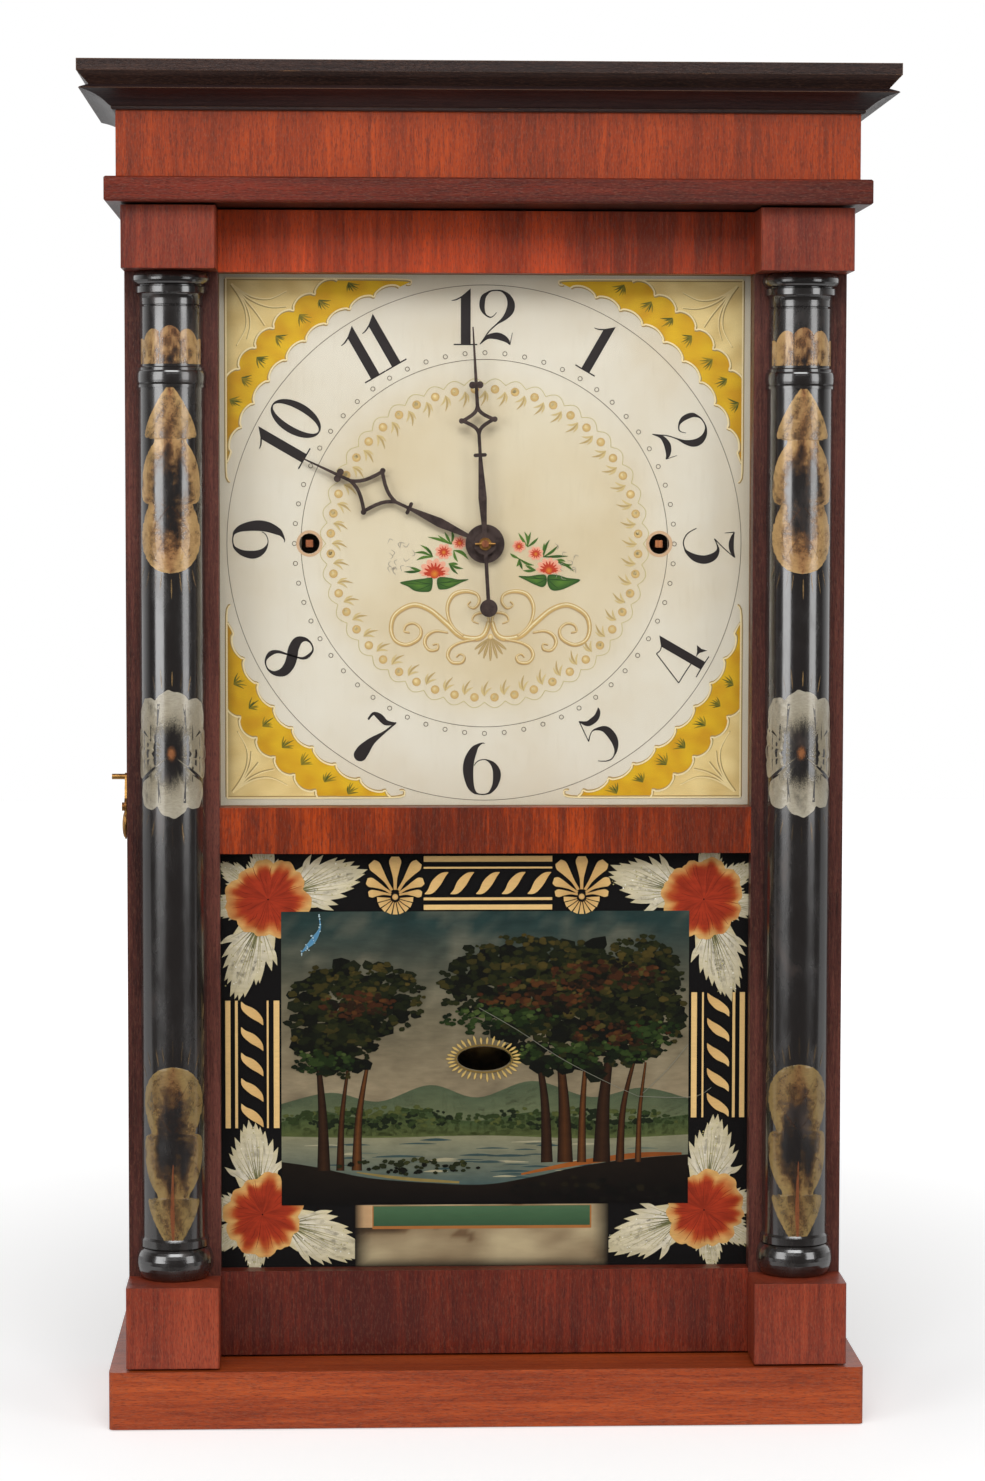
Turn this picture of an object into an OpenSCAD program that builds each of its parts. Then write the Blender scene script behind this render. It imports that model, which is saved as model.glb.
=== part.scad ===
// Flat top shelf clock with half columns, a full-width door and a wooden thirty hour movement.
// Millimetres. X is to the right seen from the front, -Y faces the viewer, Z is up.
// The origin is at the bottom centre of the whole clock.

/* [Case] */
// Width of the case and of the door
case_w = 387; // [383:1:395]
// Depth of the case box behind the door
case_d = 103; // [102:1:112]
// Height of the case box between the base and the top board
case_h = 621; // [615:1:640]
// Thickness of the side boards
side_t = 11; // [10:0.5:11.5]
// Thickness of the back board
back_t = 8; // [6:0.5:8.5]
// Width of the rabbet that holds the back board
rabbet_w = 5.5; // [4:0.5:7]
// Thickness of the top board
top_t = 10; // [9:0.5:12]

/* [Base] */
// Height of the base board
base_h = 31; // [26:0.5:36]
// How far the base stands out at each side
base_side = 9.2; // [4:0.2:12]
// How far the base stands out in front of the corner blocks
base_lip = 2.6; // [1:0.2:6]
// Radius of the base's upright corners
base_corner = 3; // [1:0.5:6]

/* [Cornice] */
// How far the frieze stands out over the case side
frieze_over = 2; // [1:0.5:3]
// Thickness of the frieze boards
frieze_t = 12; // [9:0.5:14]
// Height of the frieze, from the top board to the cornice board
frieze_h = 49.5; // [45:0.5:60]
// How far the frieze stands in front of the corner blocks
frieze_front = 4.6; // [3:0.2:8]
// Height of the band under the frieze
band_h = 13; // [12.5:0.5:16]
// How far the band stands out from the frieze
band_out = 6; // [3:0.5:8]
// Height of the coved moulding
cove_h = 12; // [10:0.5:16]
// How far the lip of the coved moulding stands out from the frieze
cove_out = 18; // [12:0.5:18]
// Thickness of the cornice board
cornice_t = 12.5; // [10:0.5:16]
// Height of the cornice board's upright edge
cornice_edge = 6; // [4:0.5:8]
// How far the cornice board stands out from the frieze
cornice_out = 19; // [18:0.5:24]

/* [Door] */
// Thickness of the door frame
door_t = 20; // [18:0.5:24]
// Gap between the door and the case
door_gap = 0.4; // [0.4:0.1:1]
// Clearance over the door
door_play = 1; // [0.5:0.1:2]
// Clearance under the door
door_rise = 1.2; // [0.5:0.1:2]
// Width of the upright stiles
stile_w = 49.8; // [46:0.2:54]
// Height of the top rail
top_rail_h = 33; // [28:0.5:38]
// Height of the middle rail
middle_rail_h = 25; // [23:0.5:34]
// Height of the bottom rail
bottom_rail_h = 46; // [40:0.5:54]
// Height of the dial opening
dial_glass_h = 287; // [280:1:292]
// Width of the rabbet for the glass
glass_rabbet = 6; // [5:0.5:8]
// Depth of the rabbet for the glass
glass_seat = 9.6; // [8:0.2:12]
// Thickness of the glass
glass_t = 2; // [1.5:0.1:3]
// Clearance of the glass at each edge
glass_play = 0.5; // [0.3:0.1:1]
// Height and depth of the strips that hold the glass
strip_d = 5; // [3:0.5:6]
// Length of a rail's tenon
tenon_l = 24; // [16:1:30]
// Thickness of a rail's tenon
tenon_t = 5; // [3:0.5:6]
// Depth of the tenon's front behind the door face
tenon_back = 4; // [3:0.5:4.5]
// Shoulder that the tenon is cut back by, above and below
tenon_shoulder = 7; // [6:0.5:9]

/* [Columns and blocks] */
// How far the corner blocks stand out from the door
block_d = 31; // [24:0.5:36]
// Radius of the column shaft
column_r = 17.8; // [15:0.1:19.5]
// Radius of the necking under the capital
neck_r = 16.8; // [14:0.1:17.5]
// Radius of the capital and base rings
torus_r = 20.8; // [20:0.1:22]
// Height of the capital ring
capital_h = 7.6; // [6:0.2:10]
// Height of the cove under the capital
cove_neck_h = 8; // [6:0.2:10]
// Height of the necking
necking_h = 35.6; // [28:0.2:44]
// Height of the astragal under the necking
astragal_h = 10.5; // [8:0.5:14]
// Height of the base ring
base_ring_h = 17.8; // [14:0.2:22]
// Height of the fillet over the base ring
base_fillet_h = 4.5; // [3:0.1:7]
// Height of the lower corner blocks
lower_block_h = 43.8; // [38:0.2:50]

/* [Dial] */
// How far the dial board reaches over each dial rail
dial_lap = 12; // [10.5:0.5:13]
// Height of the dial board
dial_h = 306; // [300:1:310]
// Thickness of the dial board
dial_t = 6; // [5:0.5:8]
// Distance from the case front to the dial's face
dial_set = 6; // [5:0.5:8]
// Depth of the dial centre under the top board
dial_drop = 179; // [176:1:182]
// Distance of each winding hole from the centre
wind_x = 95.4; // [94:0.1:97]
// Radius of a winding hole
wind_hole_r = 5.5; // [5:0.1:6.5]
// Radius of the dial's centre hole
centre_hole_r = 6.5; // [5.5:0.1:8]
// Width of the channel that each weight hangs in
channel_w = 31.5; // [31:0.5:32.5]
// Thickness of a dial rail
rail_t = 11; // [8:0.5:11.5]

/* [Hands] */
// Length of the minute hand
minute_l = 117.4; // [100:0.2:122]
// Length of the minute hand's tail
minute_tail = 35; // [24:0.5:40]
// Length of the hour hand
hour_l = 109.5; // [90:0.5:112]
// Thickness of a hand
hand_t = 1.1; // [0.8:0.1:1.5]
// Width of the strips of a hand's diamond
hand_strip = 2; // [1.4:0.1:2.6]
// Angle of the minute hand, clockwise from twelve
minute_at = -3.3; // [-180:0.1:180]
// Angle of the hour hand, clockwise from twelve
hour_at = -65; // [-180:0.1:180]

/* [Movement] */
// Thickness of the wooden plates
plate_t = 8; // [7:0.5:8.5]
// Clearance between the movement and the back board
back_clear = 5; // [4:0.5:6]
// Height of a batten that holds the movement
batten_h = 14; // [12:0.5:16]
// How far a batten laps over the plates
batten_grip = 8; // [6:0.5:9]
// Share of the movement's free depth that lies before the front plate
motion_share = 0.387; // [0.384:0.001:0.39]
// Clearance between the escape wheel and the lower batten
batten_clear = 4; // [3:0.5:8]
// How far the plates reach above the dial centre
plate_up = 79; // [76:1:82]
// Clearance at each end of the front plate
plate_play = 0.5; // [0.3:0.1:1]
// Distance of a pillar from the plate's end
pillar_side = 12; // [9:0.5:13]
// Radius of a pillar's foot
pillar_r = 5; // [4:0.2:5.4]
// Radius of an arbor
arbor_r = 2; // [1.6:0.1:2.2]
// Radius of a pivot
pivot_r = 1.2; // [0.8:0.1:1.4]
// Radial running clearance of pivots and pipes
run_fit = 0.05; // [0.03:0.01:0.08]
// Radius of the centre arbor
centre_r = 2.5; // [2.2:0.1:2.6]
// Radius of a winding arbor
winder_r = 3; // [2.6:0.1:3.4]
// Side of the winding square
square_w = 4; // [3.4:0.1:4.2]
// Radius of a winding drum
drum_r = 13.3; // [12:0.1:14]
// Radius of a drum's flanges
flange_r = 17; // [16:0.1:18]

/* [Pendulum and strike] */
// Distance of the pendulum's pivot below the dial centre
verge_drop = 37; // [36.8:0.1:37.4]
// Distance of the escape wheel's centre below the verge
escape_drop = 27; // [26.8:0.1:27.2]
// Length of the pendulum, pivot to the middle of the bob
pendulum_l = 240; // [225:1:250]
// Radius of the bob
bob_r = 24; // [20:0.5:26]
// Thickness of the bob
bob_t = 10; // [7:0.5:12]
// Radius of the pendulum rod
rod_r = 1; // [0.8:0.1:1.3]
// Radius of the escape wheel
escape_r = 21; // [20:0.2:21.4]
// Radius of the bell
bell_r = 32; // [28:0.5:33]
// Height of the bell's centre over the dial centre
bell_up = 119; // [118:0.5:122]
// Distance of the bell's centre from the centre line
bell_side = 40; // [38:0.5:42]
// Height of the hammer's pivot over the dial centre
hammer_up = 65; // [64:0.5:66]
// Distance of the hammer's pivot from the plate's end
hammer_in = 35.5; // [35:0.5:36]
// Thickness of the bell
bell_t = 2; // [1.5:0.1:3]

/* [Weights] */
// Width of a weight
weight_w = 26; // [20:0.5:27]
// Depth of a weight
weight_d = 64; // [50:1:66]
// Height of a weight
weight_h = 100; // [80:1:110]
// Height of the hanging weights over the base
weight_rise = 3; // [1:0.5:20]
// Clearance between a weight and the side board
weight_side = 2; // [1.5:0.1:3]
// Radius of a weight cord
cord_r = 1; // [0.8:0.1:1.2]
// Radius of the pulleys, to the middle of the cord
pulley_r = 10.5; // [9.5:0.1:11]

/* [Hinges and latch] */
// Length of a hinge
hinge_h = 46; // [36:1:52]
// Distance of each hinge from the door's end
hinge_end = 92; // [80:1:120]
// Radius of a hinge knuckle
knuckle_r = 2.5; // [2.3:0.1:2.6]
// Radius of a hinge pin
hinge_pin_r = 1; // [0.8:0.1:1.2]
// Width of a hinge leaf
leaf_w = 9; // [8:0.2:9.4]
// Thickness of a hinge leaf
leaf_t = 1; // [0.8:0.1:1.2]
// Height of the latch pivot over the base
latch_rise = 288.5; // [270:0.5:310]
// Distance of the latch pivot behind the case front
latch_back = 10; // [8.5:0.5:14]
// Radius of the latch rosette
rosette_r = 8; // [6:0.5:8.2]
// Length of the latch's finger pin
finger_l = 7; // [4:0.5:10]

/* [Hidden] */
$fn = 64;
eps = 0.01;

// Levels and planes
case_top_z = base_h + case_h;
frieze_z = case_top_z + top_t;
cornice_z = frieze_z + frieze_h;
total_h = cornice_z + cornice_t;
front_of_case = door_t + door_gap + block_d + frieze_front + cornice_out;
total_d = front_of_case + case_d;
back_y = total_d / 2;
case_y = back_y - case_d;
door_back_y = case_y - door_gap;
door_y = door_back_y - door_t;
block_y = door_y - block_d;
frieze_y = block_y - frieze_front;
half_w = case_w / 2;
frieze_x = half_w + frieze_over;
inner_x = half_w - side_t;
board_y = back_y - back_t;

// Door
door_z = base_h + door_rise;
door_top_z = case_top_z - door_play;
opening_x = half_w - stile_w;
tablet_z = door_z + bottom_rail_h;
dial_glass_top_z = door_top_z - top_rail_h;
dial_glass_z = dial_glass_top_z - dial_glass_h;
middle_z = dial_glass_z - middle_rail_h;
tablet_h = middle_z - tablet_z;
glass_y = door_back_y - glass_seat;
column_x = (half_w + opening_x) / 2;
upper_block_h = top_rail_h;
upper_block_z = dial_glass_top_z;
lower_block_top_z = door_z + lower_block_h;

// Dial and movement planes
dial_z = case_top_z - dial_drop;
dial_y = case_y + dial_set;
dial_back_y = dial_y + dial_t;
free_d = case_d - back_t - back_clear - dial_set - dial_t - 2 * plate_t;
motion_gap = free_d * motion_share;
plate_gap = free_d - motion_gap;
plate_y = dial_back_y + motion_gap;
plate_back_y = plate_y + plate_t;
rear_plate_y = plate_back_y + plate_gap;
rail_x = inner_x - channel_w - rail_t;
dial_w = 2 * (rail_x + dial_lap);
plate_x = rail_x - plate_play;
plate_z = dial_z - verge_drop - escape_drop - escape_r - batten_clear - batten_grip;
plate_h = dial_z + plate_up - plate_z;
rail_d = motion_gap + plate_t;

// Layers between the plates, each from its front to its back
// Each number is a thirty-eighth of the distance between the plates
function layer(a, b) = [plate_back_y + plate_gap * a / 38, plate_back_y + plate_gap * b / 38];
layer_escape = layer(1.5, 4.5);
layer_count = layer(4.5, 6.5);
layer_drum = layer(6, 18.7);
layer_minute = layer(7.5, 11.5);
layer_third = layer(14, 17.5);
layer_great = layer(19, 24);
layer_centre = layer(26, 30);
layer_hammer = layer(31.5, 34.5);
pinion_lap = 1;
cord_y = (layer_drum[0] + layer_drum[1]) / 2;

// Tooth counts and modules
great_teeth = 54;
strike_teeth = 52;
great_leaves = 12;
great_module = 1.6;
second_teeth = 32;
centre_leaves = 24;
train_module = 1.2;
centre_teeth = 66;
third_teeth = 48;
train_leaves = 6;
escape_teeth = 42;
motion_module = 1.1;
cannon_leaves = 10;
motion_teeth = 30;
motion_leaves = 8;
hour_teeth = 32;
pin_teeth = 48;
warning_teeth = 42;
count_teeth = 52;
strike_pins = 9;

// Where each arbor stands, as [x, z]
function polar(p, d, a) = [p[0] + d * cos(a), p[1] + d * sin(a)];
function reach(a, b, m) = m * (a + b) / 2;
function apex(a, b, da, db) =
  let (v = b - a, l = norm(v), s = (da * da - db * db + l * l) / (2 * l),
       h = sqrt(da * da - s * s), u = v / l)
  a + s * u + h * [-u[1], u[0]];
function bearing(a, b) = atan2(b[1] - a[1], b[0] - a[0]);
centre_at = [0, dial_z];
time_at = [wind_x, dial_z];
strike_at = [-wind_x, dial_z];
second_at = apex(centre_at, time_at, reach(second_teeth, centre_leaves, great_module),
                 reach(great_teeth, great_leaves, great_module));
verge_at = [0, dial_z - verge_drop];
escape_at = verge_at - [0, escape_drop];
third_at = apex(centre_at, escape_at, reach(centre_teeth, train_leaves, train_module),
                reach(third_teeth, train_leaves, train_module));
motion_at = [0, dial_z + reach(cannon_leaves, motion_teeth, motion_module)];
pin_at = polar(strike_at, reach(strike_teeth, great_leaves, great_module), 52);
warning_at = polar(pin_at, reach(pin_teeth, train_leaves, train_module), 8);
fly_at = polar(warning_at, reach(warning_teeth, train_leaves, train_module), 15);
count_at = polar(pin_at, reach(count_teeth, train_leaves, train_module), -60);
count_disc_r = 24;
lever_at = strike_at + [-12.6, 24];
hammer_at = [hammer_in - plate_x, dial_z + hammer_up];
bell_at = [-bell_side, dial_z + bell_up];
hammer_head = [bell_at[0] - bell_r - 9, bell_at[1]];
pin_ring_r = 22;
bob_at = [0, verge_at[1] - pendulum_l];
rod_y = dial_back_y + motion_gap / 2;

// Cords and pulleys
pulley_z = frieze_z + 6;
cord_x = inner_x - weight_side - weight_w / 2;
pulley_x = cord_x - pulley_r;
wind_r = drum_r + cord_r;
run_v = [pulley_x - wind_x, pulley_z - dial_z];
run_angle = atan2(run_v[1], run_v[0]) - acos((wind_r + pulley_r) / norm(run_v));
weight_z = base_h + weight_rise;
hook_ring_r = 5;
hook_wire_r = 1.2;
hook_top_z = weight_z + weight_h + 2 * hook_ring_r - hook_wire_r;

// Colours as the wood, metal and paint show them
MAHOGANY = [0.55, 0.20, 0.11];
DARK_WOOD = [0.20, 0.15, 0.14];
PINE = [0.72, 0.55, 0.36];
CHERRY = [0.62, 0.38, 0.22];
EBONY = [0.10, 0.08, 0.07];
CREAM = [0.89, 0.86, 0.80];
BRASS = [0.78, 0.62, 0.30];
IRON = [0.28, 0.25, 0.24];
GLASS = [0.80, 0.88, 0.90, 0.35];
HEMP = [0.76, 0.68, 0.52];

// A box between two corners
module block(a, b) {
  translate(a) cube(b - a);
}

// A 2D outline in X and Z, made solid between two Y planes
module slab(y0, y1) {
  translate([0, y1, 0]) rotate([90, 0, 0]) linear_extrude(y1 - y0) children();
}

// A round bar along Y at [x, z]
module bar_y(at, r, y0, y1) {
  translate([at[0], y1, at[1]]) rotate([90, 0, 0]) cylinder(h = y1 - y0, r = r);
}

// A round bar along X at [y, z]
module bar_x(at, r, x0, x1) {
  translate([x0, at[0], at[1]]) rotate([0, 90, 0]) cylinder(h = x1 - x0, r = r);
}

// A flat link with round ends, from point p to point q
module link(p, q, w) {
  v = q - p;
  translate(p) circle(d = w);
  translate(q) circle(d = w);
  translate(p) rotate(atan2(v[1], v[0])) translate([0, -w / 2]) square([norm(v), w]);
}

// Clock teeth: radial flanks below the pitch circle and a rounded point above it.
// form is [height above the pitch circle, depth below it, share of the pitch], in modules
WHEEL_FORM = [0.95, 1.1, 0.44];
LEAF_FORM = [0.40, 1.3, 0.38];
EVEN_FORM = [0.75, 1.1, 0.42];
function tooth(n, m, form) =
  let (r = n * m / 2, w = 180 / n * form[2], up = form[0] * m, down = form[1] * m)
  [[r - down, -w], [r, -w], [r + 0.6 * up, -0.74 * w], [r + up, -0.26 * w],
   [r + up, 0.26 * w], [r + 0.6 * up, 0.74 * w], [r, w], [r - down, w]];
function teeth(n, m, form) =
  [for (i = [0:n - 1], p = tooth(n, m, form)) let (a = 360 / n * i + p[1])
    [p[0] * cos(a), p[0] * sin(a)]];

// A toothed wheel outline whose tooth, or whose space, points along an angle
module wheel_outline(n, m, form, toward, space = false) {
  rotate(toward + (space ? 180 / n : 0)) polygon(teeth(n, m, form));
}

// A wooden wheel with its crossings left as round holes
module wheel(at, layer, n, m, form, toward, space, bore, holes = 0, hole_r = 0, hole_at = 0) {
  slab(layer[0], layer[1]) translate(at) difference() {
    wheel_outline(n, m, form, toward, space);
    if (bore > 0) circle(r = bore);
    for (i = [0:1:holes - 1]) rotate(360 / holes * i) translate([hole_at, 0]) circle(r = hole_r);
  }
}

// An arbor between the plates, with a pivot in each
module arbor(at) {
  bar_y(at, arbor_r, plate_back_y + 0.3, rear_plate_y - 0.3);
  bar_y(at, pivot_r, plate_back_y - 5, rear_plate_y + 5);
}

// A plate's pivot hole
module pivot_hole(at, y0) {
  bar_y(at, pivot_r + run_fit, y0 - 1, y0 + plate_t + 1);
}

// A moulding that runs round the front and both sides, as three mitred pieces.
// The outline is [distance out from the frieze face, height]
module mitred(outline) {
  far = 400;
  corner = [frieze_x, frieze_y];
  // front run
  intersection() {
    translate([-far, frieze_y, 0]) rotate([90, 0, 90]) linear_extrude(2 * far)
      polygon([for (p = outline) [-p[0], p[1]]]);
    linear_extrude(total_h + 1) polygon([
      [-corner[0] + 60, corner[1] + 60], [-corner[0] - 60, corner[1] - 60],
      [corner[0] + 60, corner[1] - 60], [corner[0] - 60, corner[1] + 60]]);
  }
  // side runs
  for (s = [-1, 1]) intersection() {
    translate([s * frieze_x, back_y, 0]) rotate([90, 0, 0]) linear_extrude(2 * far)
      polygon([for (p = outline) [s * p[0], p[1]]]);
    linear_extrude(total_h + 1) polygon([
      [s * (corner[0] - 60), corner[1] + 60], [s * (corner[0] + 60), corner[1] - 60],
      [s * (corner[0] + 60), back_y], [s * (corner[0] - 60), back_y]]);
  }
}

// The case

module base_board() {
  color(MAHOGANY) {
    x = half_w + base_side;
    y = block_y - base_lip;
    c = base_corner;
    linear_extrude(base_h) union() {
      translate([-x + c, y]) square([2 * (x - c), back_y - y]);
      translate([-x, y + c]) square([2 * x, back_y - y - c]);
      for (s = [-1, 1]) translate([s * (x - c), y + c]) circle(r = c);
    }
  }
}

module side_board() {
  difference() {
    block([inner_x, case_y, base_h], [half_w, back_y, case_top_z]);
    block([inner_x - 1, board_y, base_h - 1], [inner_x + rabbet_w, back_y + 1, case_top_z + 1]);
  }
}

module left_side_board() {
  color(MAHOGANY) mirror([1, 0, 0]) side_board();
}

module right_side_board() {
  color(MAHOGANY) difference() {
    side_board();
    for (z = hinge_levels) {
      block([half_w - leaf_w, case_y - 1, z], [half_w + 1, case_y + leaf_t - 0.1, z + hinge_h]);
      translate([half_w, hinge_y, z]) cylinder(h = hinge_h, r = knuckle_r + 0.3);
    }
  }
}

module back_board() {
  w = inner_x + rabbet_w;
  color(PINE) block([-w, board_y, base_h], [w, back_y, case_top_z]);
}

module top_board() {
  color(PINE) difference() {
    union() {
      block([-half_w, frieze_y + frieze_over, case_top_z], [half_w, back_y, frieze_z]);
      for (s = [-1, 1], e = [-1, 1]) {
        translate([s * pulley_x - 4, cord_y + e * 9.5 - 3, frieze_z]) cube([8, 6, 9]);
      }
    }
    for (s = [-1, 1]) {
      slot_in = pulley_r + 6;
      slot_out = pulley_r + 3;
      x0 = s > 0 ? pulley_x - slot_in : -pulley_x - slot_out;
      translate([x0, cord_y - 4.5, case_top_z - 1]) cube([slot_in + slot_out, 9, top_t + 2]);
      bar_y([s * pulley_x, pulley_z], pivot_r + run_fit, cord_y - 15, cord_y + 15);
    }
  }
}

module frieze() {
  y1 = frieze_y + frieze_t;
  x1 = frieze_x - frieze_t;
  color(MAHOGANY) {
    block([-frieze_x, frieze_y, frieze_z], [frieze_x, y1, cornice_z]);
    for (s = [-1, 1]) {
      translate([s > 0 ? x1 : -frieze_x, y1, frieze_z]) cube([frieze_t, back_y - y1, frieze_h]);
    }
  }
}

module frieze_band() {
  z0 = case_top_z;
  z1 = z0 + band_h;
  soft = 0.8;
  color(MAHOGANY) mitred([
    [-frieze_over, z0], [band_out - soft, z0], [band_out, z0 + soft], [band_out, z1 - soft],
    [band_out - soft, z1], [0, z1], [0, frieze_z], [-frieze_over, frieze_z]]);
}

module cornice_moulding() {
  z1 = cornice_z;
  z0 = z1 - cove_h;
  lip_z = z1 - 2.4;
  // the cove is a shallow hollow between the fillet and the lip
  foot = [3, z0 + 2.2];
  lip = [cove_out, lip_z];
  hollow = 1.4;
  steps = 8;
  cove = [for (i = [0:steps]) let (t = i / steps)
    foot + (lip - foot) * t + hollow * sin(180 * t) * [-0.5, 0.86]];
  color(DARK_WOOD) mitred(concat(
    [[0, z0], [1.6, z0], [2.2, z0 + 0.6], [2.2, z0 + 1.8]], cove,
    [[cove_out - 0.6, lip_z + 0.6], [cornice_out - cornice_edge, z1], [0, z1]]));
}

module cornice_board() {
  x0 = frieze_x + cornice_out - cornice_edge;
  y0 = frieze_y - cornice_out + cornice_edge;
  low = cornice_t - cornice_edge;
  color(DARK_WOOD) {
    block([-x0 - cornice_edge, y0 - cornice_edge, cornice_z + low],
          [x0 + cornice_edge, back_y, total_h]);
    // the underside slopes in to the moulding
    block([-x0, y0, cornice_z], [x0, back_y, cornice_z + low + eps]);
    mitred([[cornice_out - cornice_edge - 1, cornice_z], [cornice_out - cornice_edge, cornice_z],
            [cornice_out, cornice_z + low], [cornice_out - cornice_edge - 1, cornice_z + low]]);
  }
}

module dial_rails() {
  color(PINE) for (s = [-1, 1]) {
    translate([s > 0 ? rail_x : -rail_x - rail_t, dial_back_y, base_h])
      cube([rail_t, rail_d, case_h]);
  }
}

module movement_battens() {
  w = rail_x + rail_t;
  y0 = dial_back_y + rail_d;
  color(PINE) for (z = [plate_z - batten_h + batten_grip, plate_z + plate_h - batten_grip]) {
    block([-w, y0, z], [w, y0 + plate_t, z + batten_h]);
  }
}

module dial_board() {
  z0 = dial_z - dial_h / 2;
  color(CREAM) difference() {
    block([-dial_w / 2, dial_y, z0], [dial_w / 2, dial_back_y, z0 + dial_h]);
    bar_y(centre_at, centre_hole_r, dial_y - 1, dial_back_y + 1);
    for (s = [-1, 1]) bar_y([s * wind_x, dial_z], wind_hole_r, dial_y - 1, dial_back_y + 1);
  }
}

// The door

// Levels of the rails, each as [bottom, top]
RAILS = [[door_z, tablet_z], [middle_z, dial_glass_z], [dial_glass_top_z, door_top_z]];

module tenon(rail, grow = 0) {
  y0 = door_y + tenon_back;
  z0 = rail[0] + tenon_shoulder;
  z1 = rail[1] - tenon_shoulder;
  w = opening_x + tenon_l;
  block([-w, y0, z0 - grow], [w, y0 + tenon_t, z1 + grow]);
}

module glass_rabbets() {
  for (p = [[tablet_z, middle_z], [dial_glass_z, dial_glass_top_z]]) {
    w = opening_x + glass_rabbet;
    block([-w, glass_y, p[0] - glass_rabbet], [w, door_back_y + 1, p[1] + glass_rabbet]);
  }
}

module rail(level) {
  color(MAHOGANY) {
    difference() {
      block([-opening_x, door_y, level[0]], [opening_x, door_back_y, level[1]]);
      glass_rabbets();
    }
    tenon(level);
  }
}

module door_stiles() {
  color(MAHOGANY) difference() {
    for (s = [-1, 1]) {
      translate([s > 0 ? opening_x : -half_w, door_y, door_z])
        cube([stile_w, door_t, door_top_z - door_z]);
    }
    for (r = RAILS) tenon(r);
    glass_rabbets();
    for (z = hinge_levels) {
      block([half_w - leaf_w, door_back_y - leaf_t + 0.1, z],
            [half_w + 1, door_back_y + 1, z + hinge_h]);
      translate([half_w, hinge_y, z]) cylinder(h = hinge_h, r = knuckle_r + 0.3);
    }
    bar_x([stud_at[0], stud_at[1]], stud_r, -half_w - 1, -half_w + 8);
  }
}

module top_rail() { rail(RAILS[2]); }

module middle_rail() { rail(RAILS[1]); }

module bottom_rail() { rail(RAILS[0]); }

module corner_blocks() {
  soft = 0.8;
  levels = [[upper_block_z, door_top_z], [door_z, lower_block_top_z]];
  color(MAHOGANY) for (s = [-1, 1], z = levels) {
    x0 = s > 0 ? opening_x : -half_w;
    translate([x0, 0, z[0]]) linear_extrude(z[1] - z[0]) polygon([
      [0, door_y], [0, block_y + soft], [soft, block_y], [stile_w - soft, block_y],
      [stile_w, block_y + soft], [stile_w, door_y]]);
  }
}

// The outline of the turned column, from its foot up, as [radius, height over the block]
column_h = upper_block_z - lower_block_top_z;
function bulge(z0, z1, r0, r1, n) =
  [for (i = [0:n]) let (a = 180 * i / n) [r0 + (r1 - r0) * sin(a), z0 + (z1 - z0) * (1 - cos(a)) / 2]];
function hollow_to(z0, z1, r0, r1, n) =
  [for (i = [0:n]) let (a = 90 * i / n) [r0 + (r1 - r0) * (1 - cos(a)), z0 + (z1 - z0) * sin(a)]];
column_outline =
  let (base_in = torus_r - 4.5, fillet = column_r + 0.9, ring = torus_r - 1.4,
       neck_z = column_h - capital_h - cove_neck_h - necking_h,
       cap_z = column_h - capital_h, cove_z = cap_z - cove_neck_h,
       foot_z = base_ring_h + base_fillet_h)
  concat(
    [[0, 0]], bulge(0, base_ring_h, base_in, torus_r, 14),
    [[fillet, base_ring_h], [fillet, foot_z - 0.6], [column_r + 0.5, foot_z],
     [column_r, foot_z + 0.8], [column_r, neck_z - astragal_h],
     [column_r + 0.8, neck_z - astragal_h], [column_r + 0.8, neck_z - astragal_h + 1.5]],
    bulge(neck_z - astragal_h + 1.5, neck_z - 1.5, column_r + 0.4, ring - 0.6, 8),
    [[neck_r + 0.9, neck_z - 1.5], [neck_r + 0.9, neck_z], [neck_r, neck_z + 0.6],
     [neck_r, cove_z - 3.4], [neck_r - 0.7, cove_z - 3], [neck_r - 0.7, cove_z - 2.6],
     [neck_r, cove_z - 2.2]],
    hollow_to(cove_z, cove_z + 4, neck_r, ring - 0.4, 6),
    [[ring - 0.4, cap_z - 0.8], [ring - 1.6, cap_z - 0.3]],
    bulge(cap_z, column_h, torus_r - 3, torus_r, 10),
    [[0, column_h]]);

module half_columns() {
  color(EBONY) for (s = [-1, 1]) {
    translate([s * column_x, door_y, lower_block_top_z]) rotate([0, 0, 180])
      rotate_extrude(angle = 180) polygon(column_outline);
  }
}

module pane(z0, z1) {
  w = opening_x + glass_rabbet - glass_play;
  g = glass_rabbet - glass_play;
  block([-w, glass_y, z0 - g], [w, glass_y + glass_t, z1 + g]);
}

module dial_glass() { color(GLASS) pane(dial_glass_z, dial_glass_top_z); }

module tablet_glass() { color(EBONY) pane(tablet_z, middle_z); }

module glazing_strips() {
  y0 = glass_y + glass_t;
  s = glass_rabbet - glass_play;
  w = opening_x + s;
  color(PINE) for (p = [[tablet_z, middle_z], [dial_glass_z, dial_glass_top_z]]) {
    block([-w, y0, p[0] - s], [w, y0 + strip_d, p[0]]);
    block([-w, y0, p[1]], [w, y0 + strip_d, p[1] + s]);
    for (e = [-1, 1]) {
      translate([e > 0 ? opening_x : -w, y0, p[0]]) cube([s, strip_d, p[1] - p[0]]);
    }
  }
}

// Hinges and latch

hinge_y = case_y - door_gap / 2;
hinge_levels = [door_z + hinge_end, door_top_z - hinge_end - hinge_h];
knuckle_gap = 0.25;
knuckle_l = hinge_h / 3;

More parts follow.
